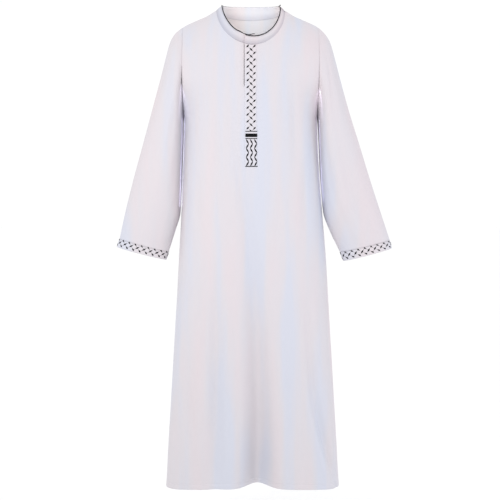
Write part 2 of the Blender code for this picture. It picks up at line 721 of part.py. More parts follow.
def collar_line(angle):
    """Lower and upper point of the collar at one angle, shifted for the overlap."""
    low = neck_edge(angle)
    high = collar_top(angle)
    step = COLLAR_TANGENT_STEP
    ahead = (neck_edge(angle + step) - neck_edge(angle - step)).normalized()
    climb = square_off(high - low, ahead)
    low = low + climb * COLLAR_LIFT
    end = 2 * math.pi + COLLAR_UNDER_ANGLE
    high = high + climb * COLLAR_TIP_RISE * (1 - smooth((end - angle) / COLLAR_TIP_SPAN))
    flat = Vector((math.sin(angle), -math.cos(angle), 0.0))
    shift = flat * lap_shift(angle)
    return low + shift, high + shift


def make_collar():
    lines = [collar_line(angle) for angle in collar_angles()]
    rows = [[mix(low, high, n / COLLAR_ROWS) for low, high in lines] for n in range(COLLAR_ROWS + 1)]
    normals = sheet_normals(rows, wrap=False)
    cloth_wall("collar_band", rows, normals, BAND_CLOTH)
    return lines


def piping_place(angle):
    """How far out and up from the collar's edge the cord's middle lies: outside the edge, and
    on top of it where the collar's other end covers it."""
    reach = PIPING_RADIUS + SEAM_GAP
    half = 0.5 * BAND_CLOTH
    covered = 2 * math.pi + COLLAR_OVER_ANGLE - PIPING_CLEAR_ANGLE
    quarter = 0.5 * math.pi * reach
    length = smooth((angle - covered) / PIPING_TURN_SPAN + 1) * (PIPING_SINK + quarter + half)
    climb = min(length, PIPING_SINK)
    bend = min(length - climb, quarter) / reach
    slide = length - climb - bend * reach
    return half + reach * math.cos(bend) - slide, climb - PIPING_SINK + reach * math.sin(bend)


def make_piping(lines):
    """Round cord along the collar's upper edge."""
    edge = [high for _, high in lines]
    shape = bmesh.new()
    rings = []
    for n, (low, high) in enumerate(lines):
        ahead = along_line(edge, n)
        up = square_off(high - low, ahead)
        side = ahead.cross(up)
        out, climb = piping_place(collar_angles()[n])
        centre = high + side * out + up * climb
        ring = []
        for i in range(PIPING_SIDES):
            angle = 2 * math.pi * (i + 0.5) / PIPING_SIDES
            reach = side * math.cos(angle) + up * math.sin(angle)
            ring.append(shape.verts.new(centre + reach * PIPING_RADIUS))
        rings.append(ring)
    for one, other in zip(rings, rings[1:]):
        for i in range(PIPING_SIDES):
            j = (i + 1) % PIPING_SIDES
            shape.faces.new((one[i], one[j], other[j], other[i]))
    shape.faces.new(tuple(reversed(rings[0])))
    shape.faces.new(tuple(rings[-1]))
    bmesh.ops.recalc_face_normals(shape, faces=shape.faces)
    add_object("collar_piping", shape, THREAD_BLACK)


for thing in list(bpy.data.objects):
    bpy.data.objects.remove(thing, do_unlink=True)

front_rows, front_normals = make_front()
make_back()
make_strip(front_rows, front_normals)
right_end = make_sleeve("sleeve_right", RIGHT_SLEEVE, (), -1.0)
left_end = make_sleeve("sleeve_left", LEFT_SLEEVE, LEFT_SLEEVE_FOLD, 1.0)
make_cuff("cuff_right", right_end, RIGHT_CUFF_END, -1.0)
make_cuff("cuff_left", left_end, LEFT_CUFF_END, 1.0)
make_piping(make_collar())
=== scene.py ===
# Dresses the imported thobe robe: fine cotton shells with their creases and seams, embroidery,
# piping, stitching, floor, lights and camera. Metres, +Z up, front towards -Y, +X the wearer's left.
import math

import bmesh
import bpy
import numpy as np
from mathutils import Matrix, Vector


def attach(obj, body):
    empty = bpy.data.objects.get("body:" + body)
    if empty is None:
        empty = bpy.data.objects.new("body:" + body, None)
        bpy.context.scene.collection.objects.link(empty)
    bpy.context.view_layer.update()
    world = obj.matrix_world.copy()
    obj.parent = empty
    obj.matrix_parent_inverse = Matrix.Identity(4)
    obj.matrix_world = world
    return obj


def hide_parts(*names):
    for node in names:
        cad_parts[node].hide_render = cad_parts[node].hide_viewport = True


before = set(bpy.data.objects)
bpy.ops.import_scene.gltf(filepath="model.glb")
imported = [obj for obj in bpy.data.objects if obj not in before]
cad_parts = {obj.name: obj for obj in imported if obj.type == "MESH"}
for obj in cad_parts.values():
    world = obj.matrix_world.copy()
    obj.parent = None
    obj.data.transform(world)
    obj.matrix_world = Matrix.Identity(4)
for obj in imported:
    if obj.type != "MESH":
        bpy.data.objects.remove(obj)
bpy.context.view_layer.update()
print("frame loaded:", ", ".join(sorted(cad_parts)))


def makeTable(names, rows):
    data = np.array(sorted(rows), float)
    keys = data[:, 0]
    table = {"keys": keys}
    for name, values in zip(names.split()[1:], data.T[1:]):
        rise = np.diff(values) / np.diff(keys)
        before = np.concatenate((rise[:1], rise))
        after = np.concatenate((rise, rise[-1:]))
        level = before * after <= 0  # level at a peak, so the curve never overshoots
        total = np.where(level, 1.0, before + after)
        table[name] = (values, np.where(level, 0.0, 2 * before * after / total))
    return table


def read(table, name, at):
    keys = table["keys"]
    values, slopes = table[name]
    at = np.clip(at, keys[0], keys[-1])
    i = np.clip(np.searchsorted(keys, at, side="right") - 1, 0, len(keys) - 2)
    step = keys[i + 1] - keys[i]
    t = (at - keys[i]) / step
    return (
        values[i] * (1 + 2 * t) * (1 - t) ** 2
        + slopes[i] * step * t * (1 - t) ** 2
        + values[i + 1] * t * t * (3 - 2 * t)
        + slopes[i + 1] * step * t * t * (t - 1)
    )


def smooth(t):
    t = np.clip(t, 0.0, 1.0)
    return t * t * (3 - 2 * t)


def mix(one, other, t):
    return one + (other - one) * t


def unit(vectors):
    return vectors / np.maximum(np.linalg.norm(vectors, axis=-1, keepdims=True), 1e-12)


def stack(x, y, z):
    return np.stack(np.broadcast_arrays(x, y, z), axis=-1).astype(float)


def flatUv(across, up):
    return stack(across, up, 0.0)[..., :2]


def lengthsAlong(points, axis=0):
    # running length along a line of points, or along each row or column of a grid
    size = np.linalg.norm(np.diff(points, axis=axis), axis=-1)
    start = np.zeros_like(np.take(size, [0], axis=axis))
    return np.concatenate((start, np.cumsum(size, axis=axis)), axis=axis)


# the body's form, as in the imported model
body = {
    "seamGap": 0.0003,
    "underarmZ": -0.300,
    "hemZ": -1.392,
    "hemSideDip": 0.010,
    "tipX": 0.2005,
    "armholeHalfDepth": 0.084,
    "armholeRoundness": 0.8,
    "shoulderBend": {"front": 2.1, "back": 2.0},
    "chestFlatness": 2.5,
    "underarmBlend": 0.4,
    "backSquare": (2.4, 0.35),
    "ringSteps": 120,
    "neckX": 0.100,
    "neckZ": {"front": -0.094, "back": -0.0125},
    "neckSkew": {"front": 0.006, "back": 0.0},
    "dipTopZ": -0.4446,
}

shoulderLine = makeTable("x z", (
    (0.000, 0.0340), (0.050, 0.0310), (0.086, 0.0200), (0.100, 0.0115), (0.114, 0.0030),
    (0.129, -0.0060), (0.150, -0.0150), (0.171, -0.0240), (0.192, -0.0335), (0.205, -0.0420),
))

sections = makeTable("z half front back square middle", (
    (-1.410, 0.2590, 0.136, 0.153, 6.0, 0.0045),
    (-1.285, 0.2523, 0.134, 0.147, 5.2, 0.0045),
    (-1.139, 0.2439, 0.131, 0.141, 4.4, 0.0045),
    (-0.991, 0.2350, 0.128, 0.134, 3.8, 0.0045),
    (-0.842, 0.2260, 0.126, 0.126, 3.3, 0.0045),
    (-0.724, 0.2195, 0.125, 0.120, 3.0, 0.0042),
    (-0.587, 0.2095, 0.124, 0.113, 2.7, 0.0025),
    (-0.486, 0.2035, 0.124, 0.110, 2.6, 0.0000),
    (-0.370, 0.1985, 0.123, 0.110, 2.5, -0.0012),
    (-0.300, 0.1970, 0.122, 0.112, 2.4, -0.0015),
    (0.034, 0.1970, 0.122, 0.112, 2.4, -0.0015),
))


def foldTables(*folds):
    return [makeTable("z at width depth", rows) for rows in folds]


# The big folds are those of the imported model. "at" runs along the cloth from the panel's middle.
bodyFolds = {
    "front": foldTables(
        ((-1.410, 0.014, 0.043, 0.080), (-1.200, 0.018, 0.037, 0.052), (-1.000, 0.013, 0.031, 0.032),
         (-0.850, 0.006, 0.027, 0.020), (-0.670, -0.006, 0.023, 0.011), (-0.500, -0.028, 0.018, 0.006),
         (-0.340, -0.050, 0.015, 0.004), (-0.130, -0.056, 0.013, 0.000)),
        ((-1.410, -0.108, 0.026, 0.005), (-1.300, -0.108, 0.024, 0.012), (-1.150, -0.108, 0.022, 0.015),
         (-0.900, -0.107, 0.018, 0.008), (-0.700, -0.108, 0.015, 0.000)),
        ((-1.320, -0.180, 0.014, 0.000), (-1.140, -0.183, 0.015, 0.006), (-0.960, -0.186, 0.013, 0.000)),
        ((-1.400, 0.262, 0.014, 0.004), (-1.310, 0.232, 0.015, 0.013), (-1.210, 0.203, 0.016, 0.015),
         (-1.110, 0.182, 0.015, 0.012), (-0.980, 0.170, 0.014, 0.008), (-0.800, 0.156, 0.013, 0.000)),
        ((-0.620, -0.100, 0.014, 0.000), (-0.420, -0.101, 0.013, 0.004), (-0.200, -0.100, 0.012, 0.000)),
        ((-0.480, 0.134, 0.014, 0.000), (-0.320, 0.128, 0.013, 0.004), (-0.150, 0.112, 0.011, 0.000)),
    ),
    "back": foldTables(
        ((-1.410, -0.010, 0.042, 0.052), (-1.100, -0.006, 0.034, 0.032), (-0.800, 0.002, 0.026, 0.016),
         (-0.500, 0.008, 0.020, 0.006), (-0.260, 0.010, 0.016, 0.000)),
        ((-1.410, -0.172, 0.034, 0.026), (-1.150, -0.160, 0.028, 0.018), (-0.850, -0.142, 0.022, 0.008),
         (-0.600, -0.128, 0.018, 0.000)),
        ((-1.410, 0.158, 0.030, 0.022), (-1.200, 0.150, 0.026, 0.018), (-0.950, 0.138, 0.021, 0.010),
         (-0.700, 0.126, 0.017, 0.000)),
    ),
}

# Finer creases, placed one by one: a few millimetres deep at most, and none alike
bodyCreases = {
    "front": foldTables(
        ((-0.560, -0.062, 0.008, 0.0), (-0.400, -0.070, 0.009, 0.0010), (-0.230, -0.076, 0.008, 0.0)),
        ((-1.000, -0.058, 0.010, 0.0), (-0.860, -0.060, 0.011, 0.0015), (-0.690, -0.064, 0.009, 0.0)),
        ((-1.330, -0.050, 0.010, 0.0), (-1.170, -0.046, 0.012, 0.0022), (-0.960, -0.048, 0.010, 0.0)),
        ((-1.290, 0.104, 0.012, 0.0), (-1.100, 0.098, 0.013, 0.0020), (-0.820, 0.090, 0.011, 0.0)),
        ((-0.800, 0.070, 0.010, 0.0), (-0.620, 0.076, 0.011, 0.0012), (-0.430, 0.084, 0.009, 0.0)),
        ((-0.360, 0.086, 0.007, 0.0), (-0.250, 0.092, 0.008, 0.0009), (-0.140, 0.095, 0.007, 0.0)),
        ((-0.700, 0.150, 0.009, 0.0), (-0.560, 0.158, 0.010, 0.0016), (-0.400, 0.170, 0.008, 0.0)),
        ((-0.760, -0.150, 0.010, 0.0), (-0.600, -0.156, 0.011, 0.0015), (-0.430, -0.168, 0.009, 0.0)),
        ((-1.390, 0.160, 0.012, 0.0020), (-1.250, 0.150, 0.012, 0.0016), (-1.060, 0.140, 0.010, 0.0)),
        ((-1.392, -0.210, 0.012, 0.0022), (-1.260, -0.214, 0.012, 0.0015), (-1.090, -0.216, 0.010, 0.0)),
    ),
    "back": foldTables(
        ((-0.620, -0.050, 0.010, 0.0), (-0.420, -0.046, 0.011, 0.0018), (-0.180, -0.040, 0.009, 0.0)),
        ((-0.700, 0.060, 0.011, 0.0), (-0.500, 0.066, 0.012, 0.0022), (-0.280, 0.060, 0.010, 0.0)),
        ((-1.150, 0.070, 0.012, 0.0), (-0.960, 0.066, 0.013, 0.0030), (-0.740, 0.058, 0.011, 0.0)),
        ((-1.250, -0.080, 0.012, 0.0), (-1.020, -0.084, 0.014, 0.0034), (-0.800, -0.078, 0.011, 0.0)),
        ((-1.392, 0.225, 0.014, 0.0040), (-1.200, 0.214, 0.013, 0.0030), (-0.960, 0.200, 0.011, 0.0)),
        ((-1.392, -0.238, 0.014, 0.0036), (-1.150, -0.222, 0.013, 0.0030), (-0.900, -0.206, 0.011, 0.0)),
        ((-0.520, 0.150, 0.010, 0.0), (-0.380, 0.158, 0.011, 0.0020), (-0.240, 0.150, 0.009, 0.0)),
        ((-0.560, -0.146, 0.010, 0.0), (-0.400, -0.156, 0.011, 0.0020), (-0.260, -0.152, 0.009, 0.0)),
    ),
}


def onRing(z, side, part):
    z, part = np.broadcast_arrays(np.asarray(z, float), np.asarray(part, float))
    half = read(sections, "half", z)[..., None]
    deep = read(sections, side, z)[..., None]
    square = read(sections, "square", z)[..., None]
    if side == "back":
        plain, share = body["backSquare"]
        square = mix(plain, square, share)
    angle = np.linspace(0.0, 0.5 * math.pi, body["ringSteps"] + 1)
    sine, cosine = np.sin(angle), np.maximum(np.cos(angle), 0.0)
    scale = (sine ** square + cosine ** square) ** (-1 / square)
    px = half * scale * sine
    py = deep * scale * cosine
    steps = np.hypot(np.diff(px, axis=-1), np.diff(py, axis=-1))
    run = np.concatenate((np.zeros_like(steps[..., :1]), np.cumsum(steps, axis=-1)), axis=-1)
    target = np.abs(part)[..., None] * run[..., -1:]
    n = np.clip(np.sum(run < target, axis=-1, keepdims=True), 1, body["ringSteps"])
    pick = lambda values, index: np.take_along_axis(values, index, axis=-1)[..., 0]
    lowRun, highRun = pick(run, n - 1), pick(run, n)
    lowX, highX, lowY, highY = pick(px, n - 1), pick(px, n), pick(py, n - 1), pick(py, n)
    t = (target[..., 0] - lowRun) / (highRun - lowRun)
    size = np.hypot(highX - lowX, highY - lowY)
    outX, outY = (lowY - highY) / size, (highX - lowX) / size
    return target[..., 0], mix(lowX, highX, t), mix(lowY, highY, t), outX, outY


def ringLength(side):
    return float(onRing(body["underarmZ"], side, 1.0)[0])


ringLengths = {side: ringLength(side) for side in ("front", "back")}


def foldDepth(tables, at, z):
    total = np.zeros(np.broadcast(at, z).shape)
    for table in tables:
        inside = (z >= table["keys"][0]) & (z <= table["keys"][-1])
        away = (at - read(table, "at", z)) / read(table, "width", z)
        total = total + np.where(inside, read(table, "depth", z) * np.exp(-away * away), 0.0)
    return total


def ripple(at, z, amount=0.00035):
    # faint unevenness of hanging cotton: tall, narrow and never repeating
    wave = np.sin(at * 118.0 + 1.7 * np.sin(z * 9.1)) * np.sin(z * 13.0 + at * 21.0)
    wave = wave + 0.7 * np.sin(at * 67.0 - 2.3 * np.sin(z * 5.3 + 1.0) + 0.6)
    wave = wave + 0.5 * np.sin(at * 203.0 + 2.0 * np.sin(z * 17.0)) * np.sin(z * 7.0 + 2.0)
    return amount * wave


def lowerPoint(side, part, z):
    face = -1.0 if side == "front" else 1.0
    hand = np.where(part < 0, -1.0, 1.0)
    run, x, y, outX, outY = onRing(z, side, part)
    keep = 1 - np.abs(part) ** 10
    at = hand * run
    depth = foldDepth(bodyFolds[side], at, z) + foldDepth(bodyCreases[side], at, z)
    depth = (depth + ripple(at, z)) * keep
    x = x - outX * depth
    y = y - outY * depth
    return stack(read(sections, "middle", z) + hand * x, face * (y + 0.5 * body["seamGap"]), z)


def shoulderZ(x):
    return read(shoulderLine, "z", np.abs(x))


def columnX(side, part, climb):
    start = onRing(body["underarmZ"], side, part)[1]
    full = ringLengths[side] / body["tipX"]
    share = np.abs(part)
    end = body["tipX"] * (full * share - (full - 1) * share ** 2)
    return mix(start, end, smooth(climb))


def upperPoint(side, part, climb):
    face = -1.0 if side == "front" else 1.0
    part, climb = np.broadcast_arrays(np.asarray(part, float), np.asarray(climb, float))
    hand = np.where(part < 0, -1.0, 1.0)
    share = np.abs(part)
    bend = body["shoulderBend"][side]
    low = body["underarmZ"]
    deep = onRing(low, side, part)[2]
    middleDeep = onRing(low, side, 0.0)[2]
    x = columnX(side, part, climb)
    z = low + (shoulderZ(x) - low) * climb
    over = np.maximum(1 - climb ** bend, 0.0) ** (1 / bend)
    armhole = np.maximum(np.sin(math.pi * np.minimum(climb, 1.0)), 0.0) ** body["armholeRoundness"]
    armhole = body["armholeHalfDepth"] * armhole
    hollow = deep * over + armhole * share ** 8
    flat = mix(middleDeep * over, armhole, share ** body["chestFlatness"])
    y = mix(hollow, flat, smooth(climb / body["underarmBlend"]))
    keep = (1 - share ** 6) * (1 - climb ** 6)
    depth = foldDepth(bodyFolds[side], hand * x, z) + foldDepth(bodyCreases[side], hand * x, z)
    y = y - (depth + ripple(hand * x, z)) * keep
    middle = read(sections, "middle", z)
    return stack(middle + hand * x, face * (y + 0.5 * body["seamGap"]), z)


def neckZ(side, x):
    skew = body["neckSkew"][side]
    reach = math.hypot(body["neckX"], skew)
    angle = np.arcsin(np.clip(x / reach, -1.0, 1.0)) - math.atan2(skew, body["neckX"])
    return mix(shoulderZ(body["neckX"]), body["neckZ"][side], np.maximum(np.cos(angle), 0.0))


def neckClimb(side, part):
    part = np.asarray(part, float)
    hand = np.where(part < 0, -1.0, 1.0)
    low, high = np.zeros(part.shape), np.ones(part.shape)
    for _ in range(40):
        climb = 0.5 * (low + high)
        x = columnX(side, part, climb)
        z = body["underarmZ"] + (shoulderZ(x) - body["underarmZ"]) * climb
        cut = (np.abs(x) < body["neckX"]) & (z > neckZ(side, hand * x))
        high = np.where(cut, climb, high)
        low = np.where(cut, low, climb)
    return np.where(columnX(side, part, 1.0) >= body["neckX"] - 1e-6, 1.0, low)


def shareOf(side, x, climb):
    x, climb = np.broadcast_arrays(np.asarray(x, float), np.asarray(climb, float))
    low, high = np.zeros(x.shape), np.ones(x.shape)
    for _ in range(44):
        share = 0.5 * (low + high)
        short = columnX(side, share, climb) < np.abs(x)
        low = np.where(short, share, low)
        high = np.where(short, high, share)
    return np.copysign(high, x)


def bodyPoint(side, part, z):
    # one point for each share and height, below or above the underarm
    part, z = np.broadcast_arrays(np.asarray(part, float), np.asarray(z, float))
    below = lowerPoint(side, part, np.minimum(z, body["underarmZ"]))
    low = body["underarmZ"]
    climb = np.zeros(z.shape)
    for _ in range(6):
        climb = np.clip((z - low) / (shoulderZ(columnX(side, part, climb)) - low), 0.0, 1.0)
    above = upperPoint(side, part, climb)
    return np.where((z < low)[..., None], below, above)


def bodyNormal(side, part, z):
    step = 0.002
    across = bodyPoint(side, part + step, z) - bodyPoint(side, part - step, z)
    up = bodyPoint(side, part, z + step) - bodyPoint(side, part, z - step)
    return unit(np.cross(across, up)) * (1.0 if side == "front" else -1.0)


# sleeves and wrist bands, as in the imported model
sleeveTables = {
    -1.0: makeTable("along ox oz ix iz half my", (
        (0.00, 0.2005, -0.0400, 0.1995, -0.3000, 0.0840, 0.000),
        (0.05, 0.2205, -0.0555, 0.2014, -0.3150, 0.0845, 0.000),
        (0.10, 0.2368, -0.0800, 0.2016, -0.3330, 0.0855, 0.000),
        (0.18, 0.2508, -0.1250, 0.2020, -0.3650, 0.0870, 0.000),
        (0.30, 0.2682, -0.1910, 0.2034, -0.4100, 0.0860, -0.002),
        (0.45, 0.2925, -0.2800, 0.2052, -0.4650, 0.0810, -0.006),
        (0.60, 0.3208, -0.3830, 0.2075, -0.5250, 0.0720, -0.011),
        (0.75, 0.3480, -0.4820, 0.2108, -0.5850, 0.0600, -0.016),
        (0.88, 0.3700, -0.5700, 0.2265, -0.6400, 0.0470, -0.020),
        (1.00, 0.3910, -0.6625, 0.2455, -0.7005, 0.0340, -0.024),
    )),
    1.0: makeTable("along ox oz ix iz half my", (
        (0.00, 0.2005, -0.0400, 0.1995, -0.3000, 0.0840, 0.000),
        (0.05, 0.2180, -0.0570, 0.2010, -0.3150, 0.0845, 0.000),
        (0.10, 0.2335, -0.0810, 0.2012, -0.3330, 0.0855, 0.000),
        (0.18, 0.2465, -0.1250, 0.2016, -0.3650, 0.0870, 0.000),
        (0.30, 0.2640, -0.1910, 0.2032, -0.4100, 0.0860, -0.002),
        (0.45, 0.2890, -0.2800, 0.2056, -0.4650, 0.0810, -0.006),
        (0.60, 0.3215, -0.3830, 0.2100, -0.5250, 0.0720, -0.011),
        (0.75, 0.3520, -0.4820, 0.2160, -0.5850, 0.0600, -0.016),
        (0.88, 0.3805, -0.5700, 0.2360, -0.6400, 0.0470, -0.020),
        (1.00, 0.4130, -0.6665, 0.2653, -0.7010, 0.0340, -0.024),
    )),
}

# Folds that run down a sleeve: along the sleeve, turn and width in degrees, depth in metres.
# Turn 0 is the outer edge and 90 the front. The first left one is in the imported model.
sleeveFolds = {
    -1.0: [makeTable("along turn width depth", rows) for rows in (
        ((0.10, 96, 9, 0.0), (0.32, 104, 10, 0.0016), (0.62, 108, 10, 0.0)),
        ((0.40, 60, 10, 0.0), (0.66, 66, 11, 0.0018), (0.98, 72, 10, 0.0004)),
        ((0.06, 214, 12, 0.0), (0.35, 226, 14, 0.0050), (0.80, 236, 13, 0.0)),
        ((0.30, 280, 12, 0.0), (0.60, 288, 14, 0.0045), (1.00, 284, 13, 0.0010)),
        ((0.12, 318, 9, 0.0), (0.38, 310, 11, 0.0026), (0.66, 318, 10, 0.0)),
    )],
    1.0: [makeTable("along turn width depth", rows) for rows in (
        ((0.15, 70, 14, 0.0), (0.35, 82, 15, 0.005), (0.70, 80, 16, 0.007), (1.00, 66, 16, 0.003)),
        ((0.03, 52, 8, 0.0), (0.12, 66, 9, 0.0024), (0.26, 78, 8, 0.0)),
        ((0.30, 118, 9, 0.0), (0.55, 122, 10, 0.0014), (0.85, 116, 9, 0.0)),
        ((0.08, 220, 12, 0.0), (0.40, 230, 14, 0.0046), (0.78, 226, 13, 0.0)),
        ((0.34, 276, 12, 0.0), (0.64, 284, 14, 0.0050), (1.00, 288, 13, 0.0012)),
    )],
}

cuffEnds = {
    -1.0: {"ox": 0.3988, "oz": -0.6850, "ix": 0.2531, "iz": -0.7228, "half": 0.033, "my": -0.025},
    1.0: {"ox": 0.4186, "oz": -0.6890, "ix": 0.2760, "iz": -0.7265, "half": 0.033, "my": -0.025},
}

sleeveShape = {
    "blendEnd": 0.22,
    "underShift": 0.0004,
    "creaseShift": 0.0002,
}


def ringPoint(row, hand, turn):
    lean = 0.5 + 0.5 * np.cos(turn)
    x = mix(row["ix"], row["ox"], lean)
    z = mix(row["iz"], row["oz"], lean)
    return stack(hand * x, row["my"] - row["half"] * np.sin(turn), z)


def sleeveRow(hand, along):
    names = ("ox", "oz", "ix", "iz", "half", "my")
    return {name: read(sleeveTables[hand], name, along) for name in names}


def armholeEdge(hand, turn):
    climb = 0.5 + 0.5 * np.cos(turn)
    share = np.full(np.shape(turn), hand)
    front = upperPoint("front", share, climb)
    back = upperPoint("back", share, climb)
    return np.where((np.sin(turn) >= 0)[..., None], front, back)


def sleevePoint(hand, along, turn):
    along, turn = np.broadcast_arrays(np.asarray(along, float), np.asarray(turn, float))
    turn = np.mod(turn, 2 * math.pi)
    row = sleeveRow(hand, along)
    point = ringPoint(row, hand, turn)
    under = smooth((0.2 - np.cos(turn)) / 1.2)
    shift = body["seamGap"] + sleeveShape["underShift"] * under
    shift = shift + sleeveShape["creaseShift"] * np.sin(turn) ** 2
    start = armholeEdge(hand, turn) + stack(hand * shift, 0.0, 0.0)
    drift = start - ringPoint(sleeveRow(hand, np.zeros(along.shape)), hand, turn)
    point = point + drift * (1 - smooth(along / sleeveShape["blendEnd"]))[..., None]
    centre = ringPoint(row, hand, np.full(turn.shape, 0.5 * math.pi))
    centre[..., 1] = row["my"]
    inwards = unit(centre - point)
    degrees = np.degrees(turn)
    depth = ripple(turn * 0.085, point[..., 2]) * smooth(along / 0.08)
    for table in sleeveFolds[hand]:
        inside = (along > table["keys"][0]) & (along <= table["keys"][-1])
        away = (degrees - read(table, "turn", along)) / read(table, "width", along)
        depth = depth + np.where(inside, read(table, "depth", along) * np.exp(-away * away), 0.0)
    return point + inwards * depth[..., None]


def cuffPoint(hand, turn, down):
    # down is 0 at the sleeve's end and 1 at the wrist opening
    start = sleevePoint(hand, 1.0, turn)
    end = ringPoint(cuffEnds[hand], hand, turn)
    return mix(start, end, np.asarray(down, float)[..., None])


def fromHex(text):
    channels = [int(text[i:i + 2], 16) / 255 for i in (0, 2, 4)]
    linear = [c / 12.92 if c <= 0.04045 else ((c + 0.055) / 1.055) ** 2.4 for c in channels]
    return (*linear, 1.0)


def addNode(material, kind, settings=None, links=None, **attributes):
    node = material.node_tree.nodes.new(kind)
    for name, value in attributes.items():
        setattr(node, name, value)
    for name, value in (settings or {}).items():
        node.inputs[name].default_value = value
    for name, source in (links or {}).items():
        material.node_tree.links.new(source, node.inputs[name])
    return node


def newMaterial(name, settings):
    material = bpy.data.materials.new(name)
    material.use_nodes = True
    shader = material.node_tree.nodes["Principled BSDF"]
    for key, value in settings.items():
        shader.inputs[key].default_value = value
    return material, shader


def join(material, source, target):
    material.node_tree.links.new(source, target)


def addFinish(material, shader, pattern, settings):
    # one pattern drives the surface's roughness and its fine relief
    low, high = settings["roughness"]
    rough = addNode(material, "ShaderNodeMapRange", {"To Min": low, "To Max": high}, {"Value": pattern})
    join(material, rough.outputs["Result"], shader.inputs["Roughness"])
    strength, depth = settings["relief"]
    bump = addNode(material, "ShaderNodeBump", {"Strength": strength, "Distance": depth}, {"Height": pattern})
    join(material, bump.outputs["Normal"], shader.inputs["Normal"])
    return bump


# Cotton poplin, woven fine and pressed: matt, cool white, a faint soft bloom at grazing angles.
# Real threads are 0.25 mm apart, too fine to show, so the weave is drawn at 0.9 mm.
poplin = {
    "white": "d5d1d6",
    "cool": "cfd1dc",
    "pink": "d9d0d4",
    "thread": 0.0009,
    "weaveRelief": (0.5, 0.00006),
    "weaveShade": 0.06,
    "relief": (0.35, 0.00010),  # strength and depth of the slubs, which are 1 mm wide and 40 mm long
    "slubScale": (900.0, 26.0, 1.0),
    "roughness": (0.74, 0.86),
    "sheen": (0.12, 0.45),
    "tintScale": (17.0, 6.0, 1.5),  # tall faint streaks of cooler and warmer white
    "tintEnds": (0.36, 0.66),
    "paintedFootShade": (0.024, "e3e3e7"),  # height and grey of the painted shade at the collar's foot
}


def makePoplin(name, settings, paintedFootShade=None):
    bloom, bloomRoughness = settings["sheen"]
    material, shader = newMaterial(name, {
        "Metallic": 0.0, "IOR": 1.47, "Specular IOR Level": 0.28,
        "Sheen Weight": bloom, "Sheen Roughness": bloomRoughness,
    })
    place = addNode(material, "ShaderNodeTexCoord")
    uv = place.outputs["UV"]
    turns = 1 / settings["thread"]
    thread = addNode(material, "ShaderNodeMapping", {"Scale": (turns, turns, 1.0)}, {"Vector": uv})
    weave = addNode(material, "ShaderNodeTexBrick", {
        "Color1": (1.0, 1.0, 1.0, 1.0), "Color2": (0.72, 0.72, 0.72, 1.0), "Mortar": (0.0, 0.0, 0.0, 1.0),
        "Scale": 1.0, "Mortar Size": 0.10, "Mortar Smooth": 1.0, "Brick Width": 1.0, "Row Height": 0.5,
    }, {"Vector": thread.outputs["Vector"]}, offset=0.5)
    long = addNode(material, "ShaderNodeMapping", {"Scale": settings["slubScale"]}, {"Vector": uv})
    slub = addNode(material, "ShaderNodeTexNoise", {"Scale": 1.0, "Detail": 3.0, "Roughness": 0.6},
                   {"Vector": long.outputs["Vector"]})
    streak = addNode(material, "ShaderNodeMapping", {"Scale": settings["tintScale"]},
                     {"Vector": place.outputs["Object"]})
    cloud = addNode(material, "ShaderNodeTexNoise", {"Scale": 1.0, "Detail": 2.0, "Roughness": 0.5},
                    {"Vector": streak.outputs["Vector"]})
    tint = addNode(material, "ShaderNodeValToRGB", links={"Fac": cloud.outputs["Fac"]})
    ramp = tint.color_ramp
    for element, spot, colour in zip(ramp.elements, settings["tintEnds"], ("cool", "pink")):
        element.position = spot
        element.color = fromHex(settings[colour])
    ramp.elements.new(0.5).color = fromHex(settings["white"])
    shade = addNode(material, "ShaderNodeMix", {"Factor": settings["weaveShade"]}, {
        "A": tint.outputs["Color"], "B": weave.outputs["Color"],
    }, data_type="RGBA", blend_type="MULTIPLY")
    colour = shade.outputs["Result"]
    if paintedFootShade:
        # painted shade: a soft grey multiplied into the colour at a band's foot, where the seam's layers
        # stand in its shade
        height, grey = paintedFootShade
        split = addNode(material, "ShaderNodeSeparateXYZ", links={"Vector": uv})
        foot = addNode(material, "ShaderNodeMapRange", {
            "From Min": 0.0, "From Max": height, "To Min": 1.0, "To Max": 0.0,
        }, {"Value": split.outputs["Y"]}, interpolation_type="SMOOTHSTEP")
        paintedShade = addNode(material, "ShaderNodeMix", {"B": fromHex(grey)}, {
            "Factor": foot.outputs["Result"], "A": colour,
        }, data_type="RGBA", blend_type="MULTIPLY")
        colour = paintedShade.outputs["Result"]
    join(material, colour, shader.inputs["Base Color"])
    slubBump = addFinish(material, shader, slub.outputs["Fac"], settings)
    strength, depth = settings["weaveRelief"]
    weaveBump = addNode(material, "ShaderNodeBump", {"Strength": strength, "Distance": depth},
                        {"Height": weave.outputs["Color"], "Normal": slubBump.outputs["Normal"]})
    join(material, weaveBump.outputs["Normal"], shader.inputs["Normal"])
    return material


waveUnit = 0.318  # a wave texture at this scale draws about one band a unit

# Rayon embroidery thread, laid as satin stitch: near black with a soft silky gloss along the stitch.
# Real threads are 0.4 mm wide.
threadLook = {
    "black": "060609",
    "grey": "101014",
    "spacing": 0.0004,
    "runScale": 120.0,
    "roughness": (0.75, 0.60),
    "relief": (0.6, 0.00012),
}


def makeThread(name, settings):
    material, shader = newMaterial(name, {"Metallic": 0.0, "IOR": 1.5, "Specular IOR Level": 0.12})
    place = addNode(material, "ShaderNodeTexCoord")
    turns = 1 / settings["spacing"]
    lay = addNode(material, "ShaderNodeMapping", {"Scale": (turns, settings["runScale"], 1.0)},
                  {"Vector": place.outputs["UV"]})
    strands = addNode(material, "ShaderNodeTexWave", {"Scale": waveUnit, "Distortion": 0.6, "Detail": 1.0},
                      {"Vector": lay.outputs["Vector"]}, wave_type="BANDS", bands_direction="X")
    colour = addNode(material, "ShaderNodeMix", {
        "A": fromHex(settings["black"]), "B": fromHex(settings["grey"]),
    }, {"Factor": strands.outputs["Fac"]}, data_type="RGBA")
    join(material, colour.outputs["Result"], shader.inputs["Base Color"])
    addFinish(material, shader, strands.outputs["Fac"], settings)
    return material


print("forms and materials ready")


